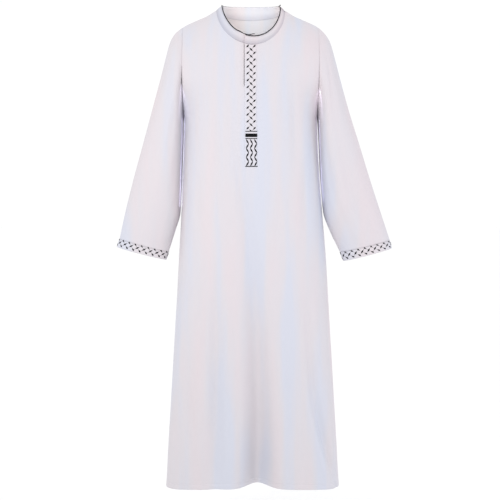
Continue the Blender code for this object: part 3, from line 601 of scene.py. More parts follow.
def gridShape(points, uvs, wrap=False, gone=None):
    # a grid of the size of "points", laid on them; wrap closes it into a tube
    rowCount, columnCount = points.shape[:2]
    shape = bmesh.new()
    layer = shape.loops.layers.uv.new("flat")
    made = bmesh.ops.create_grid(shape, x_segments=columnCount - 1, y_segments=rowCount - 1, size=1.0)
    index = {}
    for vert in made["verts"]:
        column = round((vert.co.x + 1) * 0.5 * (columnCount - 1))
        row = round((vert.co.y + 1) * 0.5 * (rowCount - 1))
        index[vert] = (row, column)
        vert.co = points[row, column]
    for face in shape.faces:
        for loop in face.loops:
            loop[layer].uv = uvs[index[loop.vert]]
    if gone:
        spots = {face: np.mean([index[vert] for vert in face.verts], axis=0) for face in shape.faces}
        cut = [face for face, spot in spots.items() if gone(*spot)]
        bmesh.ops.delete(shape, geom=cut, context="FACES")
    if wrap:
        bmesh.ops.remove_doubles(shape, verts=shape.verts, dist=0.00001)
    return shape


def finish(name, shape, material, thickness=None):
    mesh = bpy.data.meshes.new(name)
    shape.to_mesh(mesh)
    shape.free()
    mesh.shade_smooth()
    mesh.materials.append(material)
    piece = bpy.data.objects.new(name, mesh)
    bpy.context.scene.collection.objects.link(piece)
    if thickness:
        wall = piece.modifiers.new("thickness", "SOLIDIFY")
        wall.thickness = thickness
        wall.offset = 0.0
    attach(piece, "root")
    return piece


def clothSheet(name, shape, material, thickness, node):
    # a hung sheet of cloth that stands for one solid
    piece = finish(name, shape, material, thickness)
    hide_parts(node)
    return piece


def steps(*spans):
    # places along a piece: (end, spacing) pairs from zero on
    places = [0.0]
    for end, spacing in spans:
        count = max(1, round((end - places[-1]) / spacing))
        places += list(np.linspace(places[-1], end, count + 1)[1:])
    return np.array(places)


seamGroove = {"depth": 0.0007, "width": 0.0022}


def seamDip(distance, depth=seamGroove["depth"], width=seamGroove["width"]):
    # the groove beside a pressed seam, and the soft swell next to it
    near = np.exp(-(distance / width) ** 2)
    swell = np.exp(-((distance - 3.2 * width) / (1.8 * width)) ** 2)
    return depth * near - 0.35 * depth * swell


panel = {
    "cut": {"front": (0.793, 1.452, 0.815), "back": (0.761, 1.446, 0.800)},  # width, length, flat area
    "thickness": 0.0010,
    "hemFold": 0.015,
    "hemPuff": 0.0005,
    "hemSlope": 0.003,
    "hemNose": (0.004, 0.4),
    "closeSpacing": 0.001,  # rows beside the hem's edge and its stitches
    "closeReach": 0.002,
    "hemSpacing": 0.0037,
    "calmHeight": 0.026,
    "calmSpacing": 0.003,
    "stitchDip": 0.00045,
    "stitchWidth": 0.0014,
    "puckerDepth": 0.00022,
    "puckerWidth": 0.007,
    "puckerTurns": (620.0, 90.0),  # radians a metre along the hem: quick, then slow
    "midRow": 10,  # a row of the grid that lies well inside the panel
    "sideColumns": {"front": 62, "back": 50},
    "lowerSpacing": {"front": 0.0052, "back": 0.0066},
    "upperRows": {"front": 66, "back": 52},
    "slitX": -0.0174,  # right beside the strip's loose edge, where it shows as a thin line
    "slitHalfWidth": 0.0006,
    "slitEndZ": -0.2165,
    "neckShare": 8 / 15,
    "neckBlend": (0.085, 0.06),
    "edgeSteps": (0.0, 0.0022, 0.0050, 0.0085, 0.0130, 0.0190),  # closer columns beside the side seams
    "edgeShare": 0.0270,
    "slitClear": 0.004,
    "armholeDip": {-1.0: 0.0040, 1.0: 0.0012},
    "armholeWidth": 0.0030,
}


def neckCorner(side):
    # the share of the panel's width where its neck edge meets the shoulder
    return abs(float(shareOf(side, body["neckX"], 1.0)))


def topShares(side, low):
    # where each column meets the top edge: round the neck evenly, then along the shoulder
    share = np.abs(low)
    corner = panel["neckShare"]
    angle = 0.5 * math.pi * np.minimum(share / corner, 1.0)
    top = np.abs(shareOf(side, body["neckX"] * np.sin(angle), 1.0))
    outer = mix(neckCorner(side), 1.0, (share - corner) / (1 - corner))
    top = np.where(share <= corner, top, outer)
    start, span = panel["neckBlend"]
    top = mix(share, top, smooth((share - start) / span))
    return np.copysign(top, low)


def panelShares(side):
    count = panel["sideColumns"][side]
    edge = np.array(panel["edgeSteps"])
    inner = np.linspace(0.0, 1 - panel["edgeShare"], count)
    half = np.concatenate((inner, 1 - edge[::-1]))
    shares = np.concatenate((-half[:0:-1], half))
    if side == "front":
        marks = [panel["slitX"] + s * panel["slitHalfWidth"] for s in (-1, 1)]
        marks = [float(shareOf(side, mark, 0.0)) for mark in marks]
        away = np.min([np.abs(shares - mark) for mark in marks], axis=0)
        shares = np.sort(np.concatenate((shares[away > panel["slitClear"]], marks)))
    return shares


def panelGrid(side):
    low = panelShares(side)
    top = topShares(side, low)
    fold = panel["hemFold"]
    length = body["underarmZ"] - body["hemZ"]
    close, reach = panel["closeSpacing"], panel["closeReach"]
    edge = steps((reach, close), (fold - reach, panel["hemSpacing"]), (fold + reach, close),
                 (panel["calmHeight"], panel["calmSpacing"]), (length, panel["lowerSpacing"][side]))
    rows, uvs = [], []
    for climbed in edge[:-1]:
        z = body["hemZ"] + climbed
        share = np.clip((body["dipTopZ"] - z) / (body["dipTopZ"] - body["hemZ"]), 0.0, 1.0)
        z = z - body["hemSideDip"] * np.abs(low) ** 3 * share
        points = lowerPoint(side, low, z)
        run = np.copysign(onRing(z, side, low)[0], low)
        rows.append(points)
        uvs.append(flatUv(run, z))
    cut = neckClimb(side, top)
    upper = panel["upperRows"][side]
    for n in range(upper + 1):
        part = mix(low, top, smooth(n / upper))
        angle = 0.5 * math.pi * n / upper
        climb = mix(math.sin(angle), 0.5 - 0.5 * math.cos(2 * angle), np.abs(part) ** 6)
        points = upperPoint(side, part, climb * cut)
        rows.append(points)
        uvs.append(flatUv(np.copysign(np.abs(part) * ringLengths[side], part), points[..., 2]))
    return np.array(rows), np.array(uvs), low


def gridNormals(points, wrap=False):
    if wrap:
        left = np.roll(points[:, :-1], 1, axis=1)
        right = np.roll(points[:, :-1], -1, axis=1)
        across = right - left
        across = np.concatenate((across, across[:, :1]), axis=1)
    else:
        across = np.gradient(points, axis=1)
    up = np.gradient(points, axis=0)
    return unit(np.cross(across, up))


def outNormals(points, outward, row, column, wrap=False):
    # the grid's normals, on the side that "outward" names at one place
    normals = gridNormals(points, wrap)
    return normals * np.sign(np.dot(normals[row, column], outward))


def tubeNormals(points, row):
    # a tube's normals, away from the middle of one of its rings
    outward = points[row, 0] - points[row, :-1].mean(axis=0)
    return outNormals(points, outward, row, 0, wrap=True)


def facesOut(points, uvs, outward, row, column):
    # turns the grid round where its faces would look the wrong way
    across = points[row, column + 1] - points[row, column]
    up = points[row + 1, column] - points[row, column]
    if np.dot(np.cross(across, up), outward) < 0:
        return points[:, ::-1], uvs[:, ::-1]
    return points, uvs


def sideDistance(points):
    # distance along each row from the row's two ends
    run = lengthsAlong(points, axis=1)
    return np.minimum(run, run[:, -1:] - run)


def finePanel(side):
    points, uvs, low = panelGrid(side)
    face = -1.0 if side == "front" else 1.0
    normals = outNormals(points, (0.0, face, 0.0), panel["midRow"], len(low) // 2)
    fromSide = sideDistance(points)
    climbed = lengthsAlong(points)
    fromTop = climbed[-1:] - climbed
    atShoulder = np.abs(topShares(side, low)) >= neckCorner(side) - 1e-6
    arm = points[..., 2] > body["underarmZ"]
    hand = np.where(points[..., 0] < 0, -1.0, 1.0)
    armholeHeight = shoulderZ(body["tipX"]) - body["underarmZ"]
    climb = np.clip((points[..., 2] - body["underarmZ"]) / armholeHeight, 0.0, 1.0)
    level = 4 * climb * (1 - climb)  # fades out at the shoulder and underarm, as the sleeve's valley does
    depth = np.where(hand < 0, panel["armholeDip"][-1.0], panel["armholeDip"][1.0]) * level
    depth = np.where(arm, depth, seamGroove["depth"])
    dip = seamDip(fromSide, depth, np.where(arm, panel["armholeWidth"], seamGroove["width"]))
    dip = np.maximum(dip, np.where(atShoulder, seamDip(fromTop), 0.0))
    fold = panel["hemFold"]
    nose, start = panel["hemNose"]
    hem = panel["hemPuff"] * smooth((fold - climbed) / panel["hemSlope"]) * smooth(climbed / nose + start)
    dip = dip - hem + panel["stitchDip"] * np.exp(-((climbed - fold) / panel["stitchWidth"]) ** 2)
    quick, slow = panel["puckerTurns"]
    pucker = panel["puckerDepth"] * np.sin(uvs[..., 0] * quick + 2.0 * np.sin(uvs[..., 0] * slow))
    dip = dip + pucker * np.exp(-((climbed - fold) / panel["puckerWidth"]) ** 2)
    return points - normals * dip[..., None], uvs, low


def makePanel(name, side, node, material):
    points, uvs, low = finePanel(side)
    gone = None
    if side == "front":
        slitStart = float(shareOf(side, panel["slitX"] - panel["slitHalfWidth"], 0.0))
        slitColumn = int(np.argmin(np.abs(low - slitStart)))
        slitRows = [row for row in range(len(points) - 1) if points[row, slitColumn, 2] > panel["slitEndZ"]]
        gone = lambda row, column: math.floor(column) == slitColumn and math.floor(row) in slitRows
    else:
        points, uvs = points[:, ::-1], uvs[:, ::-1]
    shape = gridShape(points, uvs, gone=gone)
    piece = clothSheet(name, shape, material, panel["thickness"], node)
    return piece, points


whiteCotton = makePoplin("poplin_cotton_woven_white", poplin)
bandCotton = makePoplin("poplin_cotton_woven_bands", poplin)
# the collar's copy of the poplin has a painted shade at its foot
collarCottonPaintedShade = makePoplin("poplin_cotton_woven_collar_painted_shade", poplin, poplin["paintedFootShade"])
blackThread = makeThread("rayon_thread_satin_stitched_black", threadLook)

frontPanel, frontPoints = makePanel("frontPanel", "front", "front_panel", whiteCotton)
backPanel, backPoints = makePanel("backPanel", "back", "back_panel", whiteCotton)
print("body panels made")

sleeve = {
    "cut": {-1.0: (0.656, 0.658, 0.228), 1.0: (0.655, 0.668, 0.231)},
    "thickness": 0.0010,
    "around": 108,
    "rings": 150,
    "crowd": 1.25,
    "midRing": 60,  # a ring of the grid about halfway down
    "armholeWidth": 0.0130,
    "bandDip": 0.0001,
    "underDip": 0.0006,
    "underRadius": 0.05,
}


def makeSleeve(name, hand, node):
    turns = np.linspace(0.0, 2 * math.pi, sleeve["around"] + 1)
    alongs = np.linspace(0.0, 1.0, sleeve["rings"] + 1) ** sleeve["crowd"]
    points = np.array([sleevePoint(hand, along, turns) for along in alongs])
    row = sleeve["midRing"]
    normals = tubeNormals(points, row)
    run = lengthsAlong(points)
    level = np.sin(turns) ** 2  # the valley beside the armhole fades out over the shoulder
    dip = level * seamDip(run, panel["armholeDip"][hand], sleeve["armholeWidth"])
    dip = dip + seamDip(run[-1:] - run, depth=sleeve["bandDip"])
    fromUnder = np.abs(np.angle(np.exp(1j * (turns - math.pi)))) * sleeve["underRadius"]
    dip = dip + seamDip(fromUnder, depth=sleeve["underDip"])
    points = points - normals * dip[..., None]
    uvs = flatUv(lengthsAlong(points, axis=1), -run)
    points, uvs = facesOut(points, uvs, normals[row, 0], row, 0)
    points[:, -1] = points[:, 0]
    shape = gridShape(points, uvs, wrap=True)
    return clothSheet(name, shape, whiteCotton, sleeve["thickness"],
                      node)


sleeveRight = makeSleeve("sleeveRight", -1.0, "sleeve_right")
sleeveLeft = makeSleeve("sleeveLeft", 1.0, "sleeve_left")
print("sleeves made")

cuff = {
    "cut": {-1.0: (0.354, 0.024, 0.0085), 1.0: (0.352, 0.0255, 0.0089)},
    "thickness": 0.0018,
    "around": 120,
    "rows": 16,
    "midRow": 4,
    "height": 0.024,
    "puff": 0.0005,
    "edgeDip": 0.0001,
    "edgeShare": 0.07,
}


def makeCuff(name, hand, node):
    turns = np.linspace(0.0, 2 * math.pi, cuff["around"] + 1)
    downs = np.linspace(0.0, 1.0, cuff["rows"] + 1)
    points = np.array([cuffPoint(hand, turns, np.full(turns.shape, down)) for down in downs])
    row = cuff["midRow"]
    normals = tubeNormals(points, row)
    puff = cuff["puff"] * np.sin(math.pi * downs) ** 0.5
    puff = puff - cuff["edgeDip"] * np.exp(-(downs / cuff["edgeShare"]) ** 2)
    points = points + normals * puff[:, None, None]
    uvs = flatUv(lengthsAlong(points, axis=1), -downs[:, None] * cuff["height"])
    points, uvs = facesOut(points, uvs, normals[row, 0], row, 0)
    points[:, -1] = points[:, 0]
    shape = gridShape(points, uvs, wrap=True)
    return clothSheet(name, shape, bandCotton, cuff["thickness"],
                      node)


cuffRight = makeCuff("cuffRight", -1.0, "cuff_right")
cuffLeft = makeCuff("cuffLeft", 1.0, "cuff_left")
print("wrist bands made")

collar = {
    "cut": (0.735, 0.030, 0.0186),
    "thickness": 0.0018,
    "columns": 300,
    "rows": 14,
    "topX": 0.083,
    "topSideZ": 0.0255,
    "topFrontZ": -0.0695,
    "topBackZ": 0.0270,
    "topSkew": 0.008,
    "lean": 0.88,
    "lift": 0.0001,
    "endLean": (0.069, -0.003),
    "endFade": 0.22,
    "overAngle": -0.300,
    "underAngle": 0.045,
    "lapShift": 0.0017,
    "lapHold": 0.4,
    "lapFade": 0.45,
    "tipRise": 0.006,
    "tipSpan": 0.30,
    "curve": 0.0010,
    "footDip": 0.0003,
    "footShare": 0.16,
    "height": 0.036,
    "midSpot": (5, 100),  # a row and a column of the grid that lie well inside the band
}


def neckEdge(angle):
    angle = np.asarray(angle, float)
    x = body["neckX"] * np.sin(angle) + body["neckSkew"]["front"] * np.maximum(np.cos(angle), 0.0)
    found = {}
    for side in ("front", "back"):
        z = neckZ(side, x)
        climb = (z - body["underarmZ"]) / (shoulderZ(x) - body["underarmZ"])
        found[side] = upperPoint(side, shareOf(side, x, climb), climb)
    return np.where((np.cos(angle) >= 0)[..., None], found["front"], found["back"])


def collarTop(angle):
    forward = np.maximum(np.cos(angle), 0.0)
    backward = np.maximum(-np.cos(angle), 0.0)
    x = collar["topX"] * np.sin(angle) + collar["topSkew"] * forward
    z = collar["topSideZ"] + (collar["topFrontZ"] - collar["topSideZ"]) * forward
    z = z + (collar["topBackZ"] - collar["topSideZ"]) * backward
    return stack(x, neckEdge(angle)[..., 1] * collar["lean"], z)


def squareOff(direction, ahead):
    return unit(direction - ahead * np.sum(direction * ahead, axis=-1, keepdims=True))


def collarLine(angle):
    low, high = neckEdge(angle), collarTop(angle)
    ahead = unit(neckEdge(angle + 0.02) - neckEdge(angle - 0.02))
    climb = squareOff(high - low, ahead)
    end = 2 * math.pi + collar["underAngle"]
    low = low + climb * collar["lift"]
    high = high + climb * (collar["tipRise"] * (1 - smooth((end - angle) / collar["tipSpan"])))[..., None]
    over = 1 - smooth((angle - collar["overAngle"] - collar["lapHold"]) / collar["lapFade"])
    under = 1 - smooth((end - angle - collar["lapHold"]) / collar["lapFade"])
    flat = stack(np.sin(angle), -np.cos(angle), 0.0)
    shift = flat * (collar["lapShift"] * (over - under))[..., None]
    return low + shift, high + shift


def endTurned(angles, height):
    # leans the lapped end so that it runs upright, in line with the strip's loose edge
    near = 1 - smooth((angles - collar["overAngle"]) / collar["endFade"])
    return angles + mix(*collar["endLean"], height) * near


def makeCollar():
    angles = np.linspace(collar["overAngle"], 2 * math.pi + collar["underAngle"], collar["columns"] + 1)
    heights = np.linspace(0.0, 1.0, collar["rows"] + 1)
    points = []
    for height in heights:
        low, high = collarLine(endTurned(angles, height))
        points.append(mix(low, high, height))
    points = np.array(points)
    angles = endTurned(angles, 1.0)
    low, high = collarLine(angles)
    row, column = collar["midSpot"]
    flat = stack(np.sin(angles), -np.cos(angles), 0.0)
    normals = outNormals(points, flat[column], row, column)
    bulge = collar["curve"] * np.sin(math.pi * heights)
    bulge = bulge - collar["footDip"] * np.exp(-(heights / collar["footShare"]) ** 2)
    points = points + normals * bulge[:, None, None]
    uvs = flatUv(lengthsAlong(high), heights[:, None] * collar["height"])
    points, uvs = facesOut(points, uvs, normals[row, column], row, column)
    shape = gridShape(points, uvs)
    piece = clothSheet("collarBand", shape, collarCottonPaintedShade, collar["thickness"],
                       "collar_band")
    return piece, angles, low, high


collarBand, collarAngles, collarLow, collarHigh = makeCollar()
print("collar made")


# the strip over the neck slit
strip = {
    "cut": (0.035, 0.355, 0.0123),
    "left": -0.0168,
    "right": 0.0178,
    "bottom": -0.4446,
    "slitEnd": -0.2160,
    "thickness": 0.0008,
    "lift": 0.00115,
    "looseLift": 0.0030,
    "looseWidth": 0.0050,
    "pressedLift": 0.00085,
    "pressedWidth": 0.0022,
    "topGap": 0.0012,
    "crowd": (0.03, 0.97),
    "columns": 30,
    "rows": 150,
}


def stripShare(x):
    return shareOf("front", x, 0.0)


def stripLift(x, z):
    # the left edge is loose as far as the slit's end; below it, and on the right, it is pressed flat
    edge = np.exp(-((x - strip["left"]) / strip["looseWidth"]) ** 2)
    loose = smooth((z - strip["slitEnd"]) / 0.008 + 0.5)
    right = np.exp(-((x - strip["right"]) / strip["pressedWidth"]) ** 2)
    left = np.exp(-((x - strip["left"]) / strip["pressedWidth"]) ** 2)
    lift = strip["lift"] + (strip["looseLift"] - strip["lift"]) * edge * loose
    return lift - (strip["lift"] - strip["pressedLift"]) * np.maximum(right, left * (1 - loose))


def onStrip(x, z, height=0.0):
    # a point over the strip's middle surface, at a height above it
    share = stripShare(x)
    base = bodyPoint("front", share, z)
    normal = bodyNormal("front", share, z)
    return base + normal * (stripLift(x, z) + height)[..., None]


def makeStrip():
    spread = -np.cos(math.pi * np.linspace(*strip["crowd"], strip["columns"] + 1))  # closer at both edges
    xs = mix(strip["left"], strip["right"], (spread - spread[0]) / (spread[-1] - spread[0]))
    tops = neckZ("front", xs) - strip["topGap"]
    fraction = np.linspace(0.0, 1.0, strip["rows"] + 1)[:, None]
    zs = mix(strip["bottom"], tops[None, :], fraction)
    points = onStrip(np.broadcast_to(xs, zs.shape), zs)
    points, uvs = facesOut(points, flatUv(xs, zs), (0.0, -1.0, 0.0), 0, 0)
    return clothSheet("placketStrip", gridShape(points, uvs), bandCotton, strip["thickness"],
                      "placket_strip")


placketStrip = makeStrip()
print("strip made")


# one embroidered mark: a thick core between thin tails
stitchLook = {
    "coreWidth": 0.00235,
    "coreHalf": 0.0044,
    "coreHeight": 0.00065,
    "tailWidth": 0.00024,
    "tailHeight": 0.00028,
    "sink": 0.00010,
    "tailGap": 0.0008,  # left between a tail's end and the next mark
    "taper": 6.0,
    "blockRim": 0.0006,
    "blockRimHeight": 0.35,
}


def addMark(shape, layer, surface, start, end, core=0.5, tail=None, rings=18, sides=6):
    # a raised bundle of thread from start to end on a surface; core says where it is thickest, 0 to 1
    made = bmesh.ops.create_uvsphere(shape, u_segments=sides, v_segments=rings, radius=1.0)
    verts = made["verts"]
    co = np.array([vert.co[:] for vert in verts])
    start, end = np.array(start, float), np.array(end, float)
    length = float(np.linalg.norm(end - start))
    along = (end - start) / length
    across = np.array((-along[1], along[0]))
    angle = np.arccos(np.clip(co[:, 2], -1.0, 1.0))
    t = 1 - angle / math.pi
    ring = np.maximum(np.hypot(co[:, 0], co[:, 1]), 1e-9)
    turnX, turnY = co[:, 0] / ring, co[:, 1] / ring
    closed = np.where(ring > 1e-6, 1.0, 0.0)
    thin = tail or stitchLook["tailWidth"]
    thick = np.exp(-np.abs((t - core) * length / stitchLook["coreHalf"]) ** 3)
    taper = np.minimum(1.0, stitchLook["taper"] * np.minimum(t, 1 - t)) * closed
    wide = mix(thin, stitchLook["coreWidth"], thick) * taper
    high = mix(stitchLook["tailHeight"], stitchLook["coreHeight"], thick) * taper
    place = start + along * (t * length)[:, None] + across * (turnX * wide)[:, None]
    rise = np.where(turnY > 0, turnY * high, turnY * stitchLook["sink"] * closed)
    points = surface(place[:, 0], place[:, 1], rise)
    for vert, point in zip(verts, points):
        vert.co = point
    local = dict(zip(verts, zip(turnX * wide, t * length)))
    for face in {face for vert in verts for face in vert.link_faces}:
        for loop in face.loops:
            loop[layer].uv = local[loop.vert]


def addBlock(shape, layer, surface, low, high, height, cuts, stand):
    # a satin-stitched bar: a low rounded slab; its threads run upright, or level without "stand"
    block = bmesh.new()
    bmesh.ops.create_cube(block, size=2.0)
    for axis, count in enumerate(cuts):
        edges = [edge for edge in block.edges if abs(edge.verts[0].co[axis] - edge.verts[1].co[axis]) > 1]
        bmesh.ops.subdivide_edges(block, edges=edges, cuts=count, use_grid_fill=True)
    co = np.array([vert.co[:] for vert in block.verts])
    place = mix(np.array(low), np.array(high), (co[:, :2] + 1) / 2)
    size = 0.5 * (np.array(high) - np.array(low))
    rim = np.max(np.abs(co[:, :2]) ** (size / stitchLook["blockRim"]), axis=1)
    crown = np.sqrt(np.maximum(1 - rim, 0.0))
    top = height * mix(stitchLook["blockRimHeight"], 1.0, crown)
    rise = np.where(co[:, 2] > 0, top, -stitchLook["sink"])
    points = surface(place[:, 0], place[:, 1], rise)
    flat = place if stand else place[:, ::-1]
    copies = {}
    for vert, point, uv in zip(block.verts, points, flat):
        copies[vert] = (shape.verts.new(point), uv)
    for face in block.faces:
        made = shape.faces.new([copies[vert][0] for vert in face.verts])
        for loop, vert in zip(made.loops, face.verts):
            loop[layer].uv = copies[vert][1]
    block.free()


def stripSurface(x, z, rise):
    return onStrip(x, z, 0.5 * strip["thickness"] + rise)


# Charted: a knotted net, a bar between two lines, and three upright waves
placketChart = {
    "columns": (-0.0080, 0.0018, 0.0116),
    "netTop": -0.1000,
    "pitch": 0.01955,
    "rows": 13,
    "tailReach": 0.0058,
    "barTop": -0.3500,
    "barBottom": -0.3600,
    "lineTop": -0.3436,
    "lineBottom": -0.3645,
    "lineHalf": 0.00120,
    "lineHeight": 0.0005,
    "lineCuts": (24, 3),
    "barHeight": 0.0008,
    "barCuts": (30, 8),
    "waveColumns": (-0.0091, 0.0023, 0.0141),
    "waveTop": -0.3667,
    "wavePeriod": 0.02550,
    "waveHalf": 0.0034,
    "waveTail": 0.00125,
    "waveOverlap": 0.10,
    "closing": -0.4440,
    "left": -0.0148,
    "right": 0.0190,
}


def makePlacketThread():
    chart = placketChart
    shape = bmesh.new()
    layer = shape.loops.layers.uv.new("flat")
    left, middle, right = chart["columns"]
    pitch = chart["pitch"]
    spacing = np.hypot(middle - left, 0.5 * pitch)
    for n in range(chart["rows"]):
        z = chart["netTop"] - n * pitch
        for x in (left, right):
            inward = 1.0 if x < middle else -1.0
            way = np.array((middle - left, 0.5 * pitch)) / spacing  # up to the right
            long, short = spacing - stitchLook["tailGap"], chart["tailReach"]
            up, down = (long, short) if inward > 0 else (short, long)
            if n == 0 and inward > 0:
                up = short
            base = np.array((x, z))
            start, end = base - way * down, base + way * up
            addMark(shape, layer, stripSurface, start, end, core=down / (down + up))
        z = z - 0.5 * pitch
        base = np.array((middle, z))
        way = np.array((middle - left, -0.5 * pitch)) / spacing
        reach = spacing - stitchLook["tailGap"]
        if n < chart["rows"] - 1:
            addMark(shape, layer, stripSurface, base - way * reach, base + way * reach, core=0.5)
    base = np.array((middle, chart["lineTop"] + 0.0002))  # the last middle mark ends on the line
    addMark(shape, layer, stripSurface, base - way * reach, base + way * 0.0004, core=0.95)
    for z in (chart["lineTop"], chart["lineBottom"], chart["closing"]):
        addBlock(shape, layer, stripSurface, (chart["left"], z - chart["lineHalf"]),
                 (chart["right"], z + chart["lineHalf"]), chart["lineHeight"], chart["lineCuts"], False)
    addBlock(shape, layer, stripSurface, (chart["left"], chart["barBottom"]),
             (chart["right"], chart["barTop"]), chart["barHeight"], chart["barCuts"], True)
    for x in chart["waveColumns"]:
        z, hand = chart["waveTop"], -1.0
        while z - 0.5 * chart["wavePeriod"] > chart["closing"] - 0.001:
            below = z - 0.5 * chart["wavePeriod"]
            turn = np.array((x + hand * chart["waveHalf"], z))
            other = np.array((x - hand * chart["waveHalf"], below))
            more = (other - turn) * chart["waveOverlap"]
            addMark(shape, layer, stripSurface, turn - more, other + more, core=0.5, tail=chart["waveTail"])
            z, hand = below, -hand
    piece = finish("placketEmbroidery", shape, blackThread)
    return piece


placketEmbroidery = makePlacketThread()
print("strip embroidered")

cuffChart = {
    "pitch": 0.0197,
    "rows": (0.0243, 0.0154, 0.0065),  # heights above the opening
    "start": {-1.0: 0.0050, 1.0: -0.0052},
    "outerTail": 0.0026,
    "innerTail": 0.0040,
    "above": 0.25,  # share of the band's height that marks may reach above its seam
    "wallBlend": 0.04,
}


def cuffSurface(hand, rise, run, down):
    # run is the distance round the band from its outer edge, down the share of its height
    table = cuffRuns[hand]
    turn = np.interp(np.mod(run, table[0][-1]), table[0], table[1])
    down = np.clip(down, -cuffChart["above"], 1.0)
    step = 0.01
    base = cuffPoint(hand, turn, down)
    across = cuffPoint(hand, turn + step, down) - cuffPoint(hand, turn - step, down)
    along = cuffPoint(hand, turn, np.ones_like(down)) - cuffPoint(hand, turn, np.zeros_like(down))
    normal = unit(np.cross(across, along))
    ends = cuffEnds[hand]
    middle = 0.5 * np.array((hand * (ends["ix"] + ends["ox"]), 2 * ends["my"], ends["iz"] + ends["oz"]))
    inward = np.sum(normal * (base - middle), axis=-1) < 0
    normal = np.where(inward[..., None], -normal, normal)
    puff = cuff["puff"] * np.sqrt(np.maximum(np.sin(math.pi * down), 0.0))
    wall = mix(0.5 * sleeve["thickness"], 0.5 * cuff["thickness"], smooth(down / cuffChart["wallBlend"] + 1))
    return base + normal * (wall + puff + rise)[..., None]


def cuffRun(hand):
    turns = np.linspace(0.0, 2 * math.pi, 721)
    points = cuffPoint(hand, turns, np.full(turns.shape, 0.5))
    return lengthsAlong(points), turns


cuffRuns = {hand: cuffRun(hand) for hand in (-1.0, 1.0)}


def cuffHeight(hand):
    turns = np.array([0.5 * math.pi])
    return float(np.linalg.norm(cuffPoint(hand, turns, np.ones(1)) - cuffPoint(hand, turns, np.zeros(1))))


def makeCuffThread(name, hand):
    shape = bmesh.new()
    layer = shape.loops.layers.uv.new("flat")
    tall = cuffHeight(hand)
    girth = cuffRuns[hand][0][-1]
    count = round(girth / cuffChart["pitch"])
    pitch = girth / count
    surface = lambda x, z, rise: cuffSurface(hand, rise, x, -z / tall)
    high, middle, low = (height - tall for height in cuffChart["rows"])
    side = -hand  # seen from the front, the outer rows lean the same way on both arms
    for n in range(count):
        run = n * pitch + cuffChart["start"][hand]
        for z in (high, low):
            outer = z == high
            base = np.array((run, z))
            way = np.array((0.5 * pitch * side, -(high - middle)))
            reach = float(np.linalg.norm(way))
            way = way / reach
            long, short = reach - stitchLook["tailGap"], cuffChart["outerTail" if outer else "innerTail"]
            down, up = (long, short) if outer else (short, long)
            addMark(shape, layer, surface, base - way * up, base + way * down, core=up / (up + down))
        base = np.array((run + 0.5 * pitch, middle))
        way = np.array((0.5 * pitch * side, high - middle))
        reach = float(np.linalg.norm(way))
        way = way / reach
        reach = reach - stitchLook["tailGap"]
        addMark(shape, layer, surface, base - way * reach, base + way * reach, core=0.5)
    piece = finish(name, shape, blackThread)
    return piece


cuffThreadRight = makeCuffThread("cuffEmbroideryRight", -1.0)
cuffThreadLeft = makeCuffThread("cuffEmbroideryLeft", 1.0)
print("wrist bands embroidered")


# Cotton piping over a thin cord: matt dark grey-black with a fine rope twist. The twist is 2 mm long.
piping = {
    "colour": "0d0d11",
    "high": "1b1b21",
    "radius": 0.0013,
    "sink": 0.0012,
    "turnSpan": 0.30,
    "clearAngle": 0.08,
    "halfBand": 0.0010,
    "gap": 0.0003,
    "sides": 12,
    "twist": 0.0020,
    "twistAngle": 0.9,
    "endRings": 3.0,  # rings of the grid that round each end
    "roughness": (0.85, 0.68),
    "relief": (0.6, 0.0002),
}


def makePipingCloth():
    material, shader = newMaterial("cotton_piping_cord_dark", {
        "Metallic": 0.0, "IOR": 1.47, "Specular IOR Level": 0.15,
    })
    place = addNode(material, "ShaderNodeTexCoord")
    turns = 1 / piping["twist"]
    lay = addNode(material, "ShaderNodeMapping", {
        "Scale": (turns, turns, 1.0), "Rotation": (0.0, 0.0, piping["twistAngle"]),
    }, {"Vector": place.outputs["UV"]})
    rope = addNode(material, "ShaderNodeTexWave", {"Scale": waveUnit, "Distortion": 0.4},
                   {"Vector": lay.outputs["Vector"]}, wave_type="BANDS", bands_direction="X")
    colour = addNode(material, "ShaderNodeMix", {
        "A": fromHex(piping["colour"]), "B": fromHex(piping["high"]),
    }, {"Factor": rope.outputs["Fac"]}, data_type="RGBA")
    join(material, colour.outputs["Result"], shader.inputs["Base Color"])
    addFinish(material, shader, rope.outputs["Fac"], piping)
    return material


def pipingPlace(angles):
    reach = piping["radius"] + piping["gap"]
    quarter = 0.5 * math.pi * reach
    covered = 2 * math.pi + collar["overAngle"] - piping["clearAngle"]
    length = piping["sink"] + quarter + piping["halfBand"]
    length = length * smooth((angles - covered) / piping["turnSpan"] + 1)
    climb = np.minimum(length, piping["sink"])
    bend = np.minimum(length - climb, quarter) / reach
    slide = length - climb - bend * reach
    return piping["halfBand"] + reach * np.cos(bend) - slide, climb - piping["sink"] + reach * np.sin(bend)


def makePiping():
    ahead = unit(np.gradient(collarHigh, axis=0))
    up = squareOff(collarHigh - collarLow, ahead)
    side = np.cross(ahead, up)
    out, climb = pipingPlace(collarAngles)
    centre = collarHigh + side * out[:, None] + up * climb[:, None]
    turns = np.linspace(0.0, 2 * math.pi, piping["sides"] + 1)
    ends = np.minimum(np.arange(len(centre)), np.arange(len(centre))[::-1])
    radius = piping["radius"] * np.sqrt(np.clip((ends + 0.4) / piping["endRings"], 0.0, 1.0))
    ring = side[:, None] * np.cos(turns)[None, :, None] + up[:, None] * np.sin(turns)[None, :, None]
    points = centre[:, None] + ring * radius[:, None, None]
    uvs = flatUv(lengthsAlong(centre)[:, None], turns * piping["radius"])
    shape = gridShape(points, uvs, wrap=True)
    bmesh.ops.holes_fill(shape, edges=[edge for edge in shape.edges if edge.is_boundary])
    bmesh.ops.recalc_face_normals(shape, faces=shape.faces)
    piece = finish("collarPiping", shape, makePipingCloth())
    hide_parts("collar_piping")
    return piece


collarPiping = makePiping()
print("piping made")


